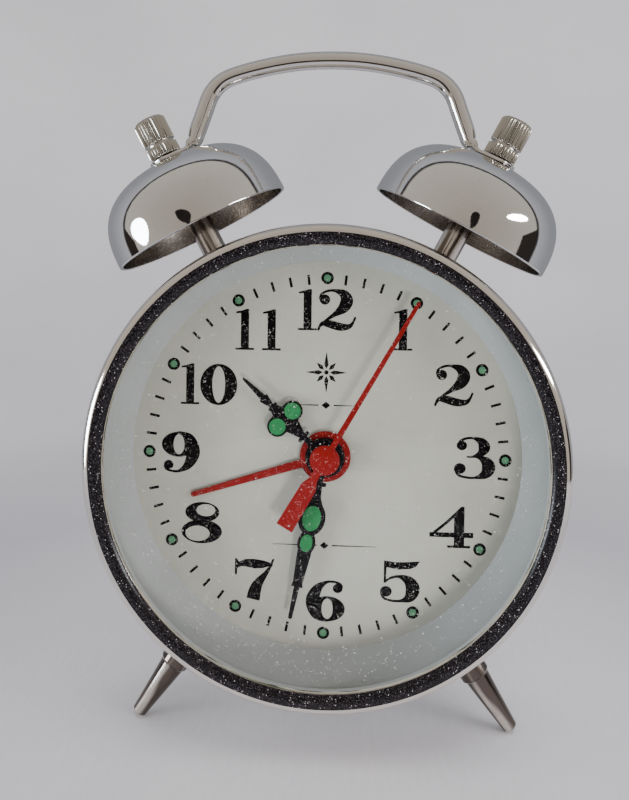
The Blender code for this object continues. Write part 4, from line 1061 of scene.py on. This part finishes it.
def make_keys():
    """Winding keys: a bored boss, and two wings with an eye in each standing across its end."""
    front, back, bore_end = -42.0, -48.5, -43.9
    boss = [(0, back), (3.9, back, 0.5), (3.9, front, 0.3), (2.3, front, 0.15), (2.3, bore_end, 0),
            (0, bore_end)]
    wing = [(2.0, 0.0), (6.0, -1.6), (10.6, -1.6), (12.6, 0.6), (12.6, 5.2), (10.2, 8.0), (6.2, 8.0),
            (3.4, 5.6)]
    wings = fillet(wing + [(-x, y) for x, y in reversed(wing)], 2.2, 8)
    eyes = [circle(2.3, (side * 8.4, 3.2), 48) for side in (-1, 1)]
    for word, turn in (("time", 20), ("alarm", -25)):
        matrix = dial_frame_at(joint_place(f"{word}_key_wind"), math.radians(turn))
        lathe(f"{word}_key_boss", fillet(boss, 0.2, closed=False)[::-1], "knob", 72, body=f"{word}_winder",
              matrix=matrix)
        upright = Matrix.Translation((0, 0, (back + 0.5) * MM)) @ Matrix.Rotation(-math.pi / 2, 4, 'X')
        plate(f"{word}_key_wings", [wings, *eyes], -0.9, 0.9, "knob", 0.3, f"{word}_winder", matrix @ upright,
              (f"{word}_key",))


def make_stop_button():
    button = [(0, -30.0), (1.5, -30.0, 0.1), (1.5, -44.5, 0.1), (3.6, -44.5, 0.3), (3.6, -48.4, 0.5),
              (2.8, -49.3, 0.6), (0, -49.3)]
    lathe("alarm_stop_button", fillet(button, 0.2, closed=False), "knob", 72, body="alarm_stop",
          matrix=dial_frame_at(STOP_PLACE), replaced=("stop_button",))


CAD_FINISHES = {
    "brass": ("movement_front_plate", "movement_back_plate", "pillar_1", "pillar_2", "pillar_3", "pillar_4",
              "cannon_pinion", "hour_wheel", "minute_wheel", "seconds_wheel", "third_wheel", "centre_wheel",
              "time_great_wheel", "escape_wheel", "alarm_wheel", "alarm_great_wheel", "alarm_escape_wheel",
              "balance_wheel"),
    "knob": ("time_set_knob", "alarm_set_knob"),
    "steel": ("pallet_lever", "post_lock_nut_left", "post_lock_nut_right", "time_winding_arbor",
              "alarm_winding_arbor", "hammer_arm", "regulator_lever"),
    "blued": ("time_mainspring", "alarm_mainspring", "hairspring"),
}


def finish_cad_nodes():
    for finish, nodes in CAD_FINISHES.items():
        for node in nodes:
            mesh = frame["nodes"][node].data
            mesh.materials.clear()
            mesh.materials.append(MATERIALS[finish])


# ---------------------------------------------------------------- stage, light and camera

def paper():
    """Pale paper with faint waves and fibres, with painted light that makes it palest where the clock stands,
    lifting the clock's shadow there, and painted shade in a ring round that.
    """
    shader = Shader("pale_floor")
    grain = shader.noise(900, 4.0, 0.6)
    waves = shader.noise(5, 3.0, 0.5)
    fibres = shader.noise(700, 3.0, 0.7, shader.stretched((1.0, 0.12, 0.12)))
    away = shader.distance((1.0, 1.0, 0.0))
    colour = shader.mix(shader.remap(waves, 0.3, 0.7), (0.79, 0.78, 0.83), (0.70, 0.69, 0.74))
    # Painted shade: the paper darkens in a ring round the clock, darkest about 0.17 m out and back to its own
    # tone by 0.34 m.
    colour = shader.mix(shader.remap(away, 0.12, 0.34), (0.55, 0.54, 0.60), colour)
    # Painted light: the paper is palest right under the clock, lifting the shadow that the clock casts there.
    colour = shader.mix(shader.remap(away, 0.05, 0.17), (0.90, 0.89, 0.94), colour)
    colour = shader.mix(shader.remap(fibres, 0.35, 0.65, 0.0, 0.06), colour, (0.40, 0.39, 0.42))
    shader.drive("Base Color", colour)
    shader.set(Roughness=0.85)
    shader.bump(shader.maths('ADD', grain, fibres), 0.0003, 0.35)
    return shader.material


def stage_piece(name, points, faces, material):
    mesh = bpy.data.meshes.new(name)
    mesh.from_pydata(points, [], faces)
    mesh.shade_smooth()
    mesh.materials.append(material)
    thing = bpy.data.objects.new(name, mesh)
    bpy.context.scene.collection.objects.link(thing)
    thing.visible_shadow = False
    return thing


def round_stage(name, rings, material, count=96):
    """A stage piece turned about the clock's upright, from the radius and height of each of its rings."""
    points = [(*point, height) for radius, height in rings for point in circle(radius, count=count)]
    pairs = [(i, (i + 1) % count) for i in range(count)]
    faces = [(low + i, low + j, low + count + j, low + count + i)
             for low in range(0, count * (len(rings) - 1), count) for i, j in pairs]
    return stage_piece(name, points, faces, material)


def make_stage():
    """A flat floor and, past it, a wall that bends up all round and that only the camera sees."""
    material = paper()
    flat, bend, rise = 0.30, 0.55, 1.4
    round_stage("floor", [(0.0, 0.0), (0.1, 0.0), (flat, 0.0)], material)
    wall = [(flat + bend * math.sin(a), bend - bend * math.cos(a)) for a in np.linspace(0.0, math.pi / 2, 20)]
    wall = round_stage("backdrop", [*wall, (flat + bend, rise)], material)
    wall.visible_glossy = wall.visible_diffuse = False


ROOM = ((0.0, (0.56, 0.50, 0.44)), (0.08, (0.62, 0.56, 0.50)), (0.30, (0.70, 0.64, 0.58)),
        (0.515, (0.74, 0.69, 0.63)), (0.535, (0.05, 0.045, 0.045)), (0.555, (0.05, 0.045, 0.045)),
        (0.575, (0.64, 0.65, 0.71)), (0.80, (0.42, 0.43, 0.47)), (1.0, (0.34, 0.35, 0.38)))


def make_world():
    """A room that is warm grey in front and cool grey behind, with a dark gap between them at the sides:
    ROOM gives its colours from the front to the back. The camera itself sees plain grey."""
    world = bpy.data.worlds.new("studio")
    bpy.context.scene.world = world
    world.use_nodes = True
    nodes, links = world.node_tree.nodes, world.node_tree.links
    parts = nodes.new("ShaderNodeSeparateXYZ")
    links.new(nodes.new("ShaderNodeTexCoord").outputs["Generated"], parts.inputs["Vector"])
    depth = nodes.new("ShaderNodeMapRange")
    depth.inputs["From Min"].default_value, depth.inputs["From Max"].default_value = -1.0, 1.0
    links.new(parts.outputs["Y"], depth.inputs["Value"])
    ramp = nodes.new("ShaderNodeValToRGB")
    links.new(depth.outputs["Result"], ramp.inputs["Fac"])
    elements = ramp.color_ramp.elements
    while len(elements) < len(ROOM):
        elements.new(0.5)
    for element, (place, colour) in zip(elements, ROOM):
        element.position = place
        element.color = (*colour, 1.0)
    background = nodes["Background"]
    links.new(ramp.outputs["Color"], background.inputs["Color"])
    background.inputs["Strength"].default_value = 0.80
    plain = nodes.new("ShaderNodeBackground")
    plain.inputs["Color"].default_value = (0.50, 0.49, 0.52, 1.0)
    choice = nodes.new("ShaderNodeMixShader")
    links.new(nodes.new("ShaderNodeLightPath").outputs["Is Camera Ray"], choice.inputs["Fac"])
    links.new(background.outputs["Background"], choice.inputs[1])
    links.new(plain.outputs["Background"], choice.inputs[2])
    links.new(choice.outputs["Shader"], nodes["World Output"].inputs["Surface"])


def area_light(name, place, target, size, power, colour=(1, 1, 1), shape='ELLIPSE'):
    data = bpy.data.lights.new(name, 'AREA')
    data.shape = shape
    data.size, data.size_y = size
    data.energy = power
    data.color = colour
    light = bpy.data.objects.new(name, data)
    bpy.context.scene.collection.objects.link(light)
    light.location = place
    light.rotation_euler = (Vector(target) - Vector(place)).to_track_quat('-Z', 'Y').to_euler()
    return light


def dark_card(name, corners):
    """A dark thing round the clock that is only ever seen in its reflections."""
    shader = Shader(name)
    shader.set(Base_Color=(0.035, 0.028, 0.024, 1), Roughness=0.9, Specular_IOR_Level=0.1)
    card = stage_piece(name, corners, [tuple(range(len(corners)))], shader.material)
    card.visible_camera = card.visible_diffuse = False


def dark_ellipse(name, x, z, wide, tall):
    """An uneven dark ellipse standing in front of the clock."""
    turns = [2 * math.pi * i / 20 for i in range(20)]
    dark_card(name, [(x + wide * (1 + 0.12 * math.sin(3 * a)) * math.cos(a), -0.235,
                      z + tall * (1 + 0.10 * math.cos(2 * a)) * math.sin(a)) for a in turns])


def make_lights():
    middle = (0, 0, AXIS_HEIGHT)
    low_front = area_light("low_front", (0.38, -0.78, -0.30), middle, (0.26, 0.20), 4.1, (1.0, 0.98, 0.95))
    low_front.visible_glossy = False
    area_light("window", (0.78, -0.40, 0.25), middle, (0.46, 0.12), 3.5, (0.95, 0.97, 1.0))
    area_light("left_window", (-0.75, -0.30, 0.02), middle, (0.36, 0.30), 4.6, (0.82, 0.91, 1.0))
    left_low = area_light("left_low", (-0.68, -0.34, -0.32), middle, (0.36, 0.30), 3.2, (0.82, 0.91, 1.0))
    left_low.visible_glossy = False
    overhead = area_light("overhead", (0.1, -0.10, 1.1), (0, -0.1, 0), (1.2, 0.9), 6.3, (0.97, 0.97, 1.0))
    overhead.visible_glossy = False


def make_dark_cards():
    far, near = (0.40, -1.6, 0.004), (0.30, -0.34, 0.004)
    dark_card("dark_floor", [(-far[0], *far[1:]), far, near, (-near[0], *near[1:])])
    dark_ellipse("dark_shape_1", -0.075, 0.160, 0.034, 0.024)
    dark_ellipse("dark_shape_2", 0.068, 0.158, 0.020, 0.028)
    for name, (x, y), edge, (top, edge_top) in (("dark_right", (0.44, -0.17), 0.50, (0.05, 0.12)),
                                                ("dark_left", (-0.46, -0.09), -0.50, (0.0, 0.10))):
        dark_card(name, [(x, y, -0.30), (edge, 0.02, -0.30), (edge, 0.02, edge_top), (x, y, top)])


# The camera in the dial frame, its sensor, and its focal length as a share of the sensor's longer side.
CAMERA_PLACE = Vector((6.4, 51.7, 188.5))
CAMERA_PITCH, CAMERA_ROLL, CAMERA_YAW = (math.radians(angle) for angle in (0.57, -0.73, -3.14))
FOCAL_SHARE = 1.0075
SENSOR = 36.0


def make_camera():
    data = bpy.data.cameras.new("camera")
    data.sensor_width = SENSOR
    data.lens = FOCAL_SHARE * SENSOR
    data.shift_x, data.shift_y = 0.0063, -0.18
    data.clip_start, data.clip_end = 0.01, 20.0
    turn = (Matrix.Rotation(CAMERA_ROLL, 4, 'Z') @ Matrix.Rotation(CAMERA_PITCH, 4, 'X')
            @ Matrix.Rotation(CAMERA_YAW, 4, 'Y')).inverted()
    camera = bpy.data.objects.new("camera", data)
    bpy.context.scene.collection.objects.link(camera)
    camera.matrix_world = DIAL_FRAME @ Matrix.Translation(CAMERA_PLACE * MM) @ turn
    bpy.context.scene.camera = camera


# ---------------------------------------------------------------- the whole clock

make_camera()
make_world()
make_lights()
make_dark_cards()
make_stage()
make_bezel()
make_drum()
make_crystal()
make_dial()
make_dots()
make_numerals()
make_ornaments()
make_hands()
for bell_side, bell_word in ((-1, "left"), (1, "right")):
    make_bell(bell_side, bell_word)
make_handle()
make_foot(-1, "front_foot_left", "foot_left")
make_foot(1, "front_foot_right", "foot_right")
make_foot(0, "back_foot", "rear_foot")
make_cover()
make_arrows()
make_screws()
make_set_knobs()
make_keys()
make_stop_button()
finish_cad_nodes()
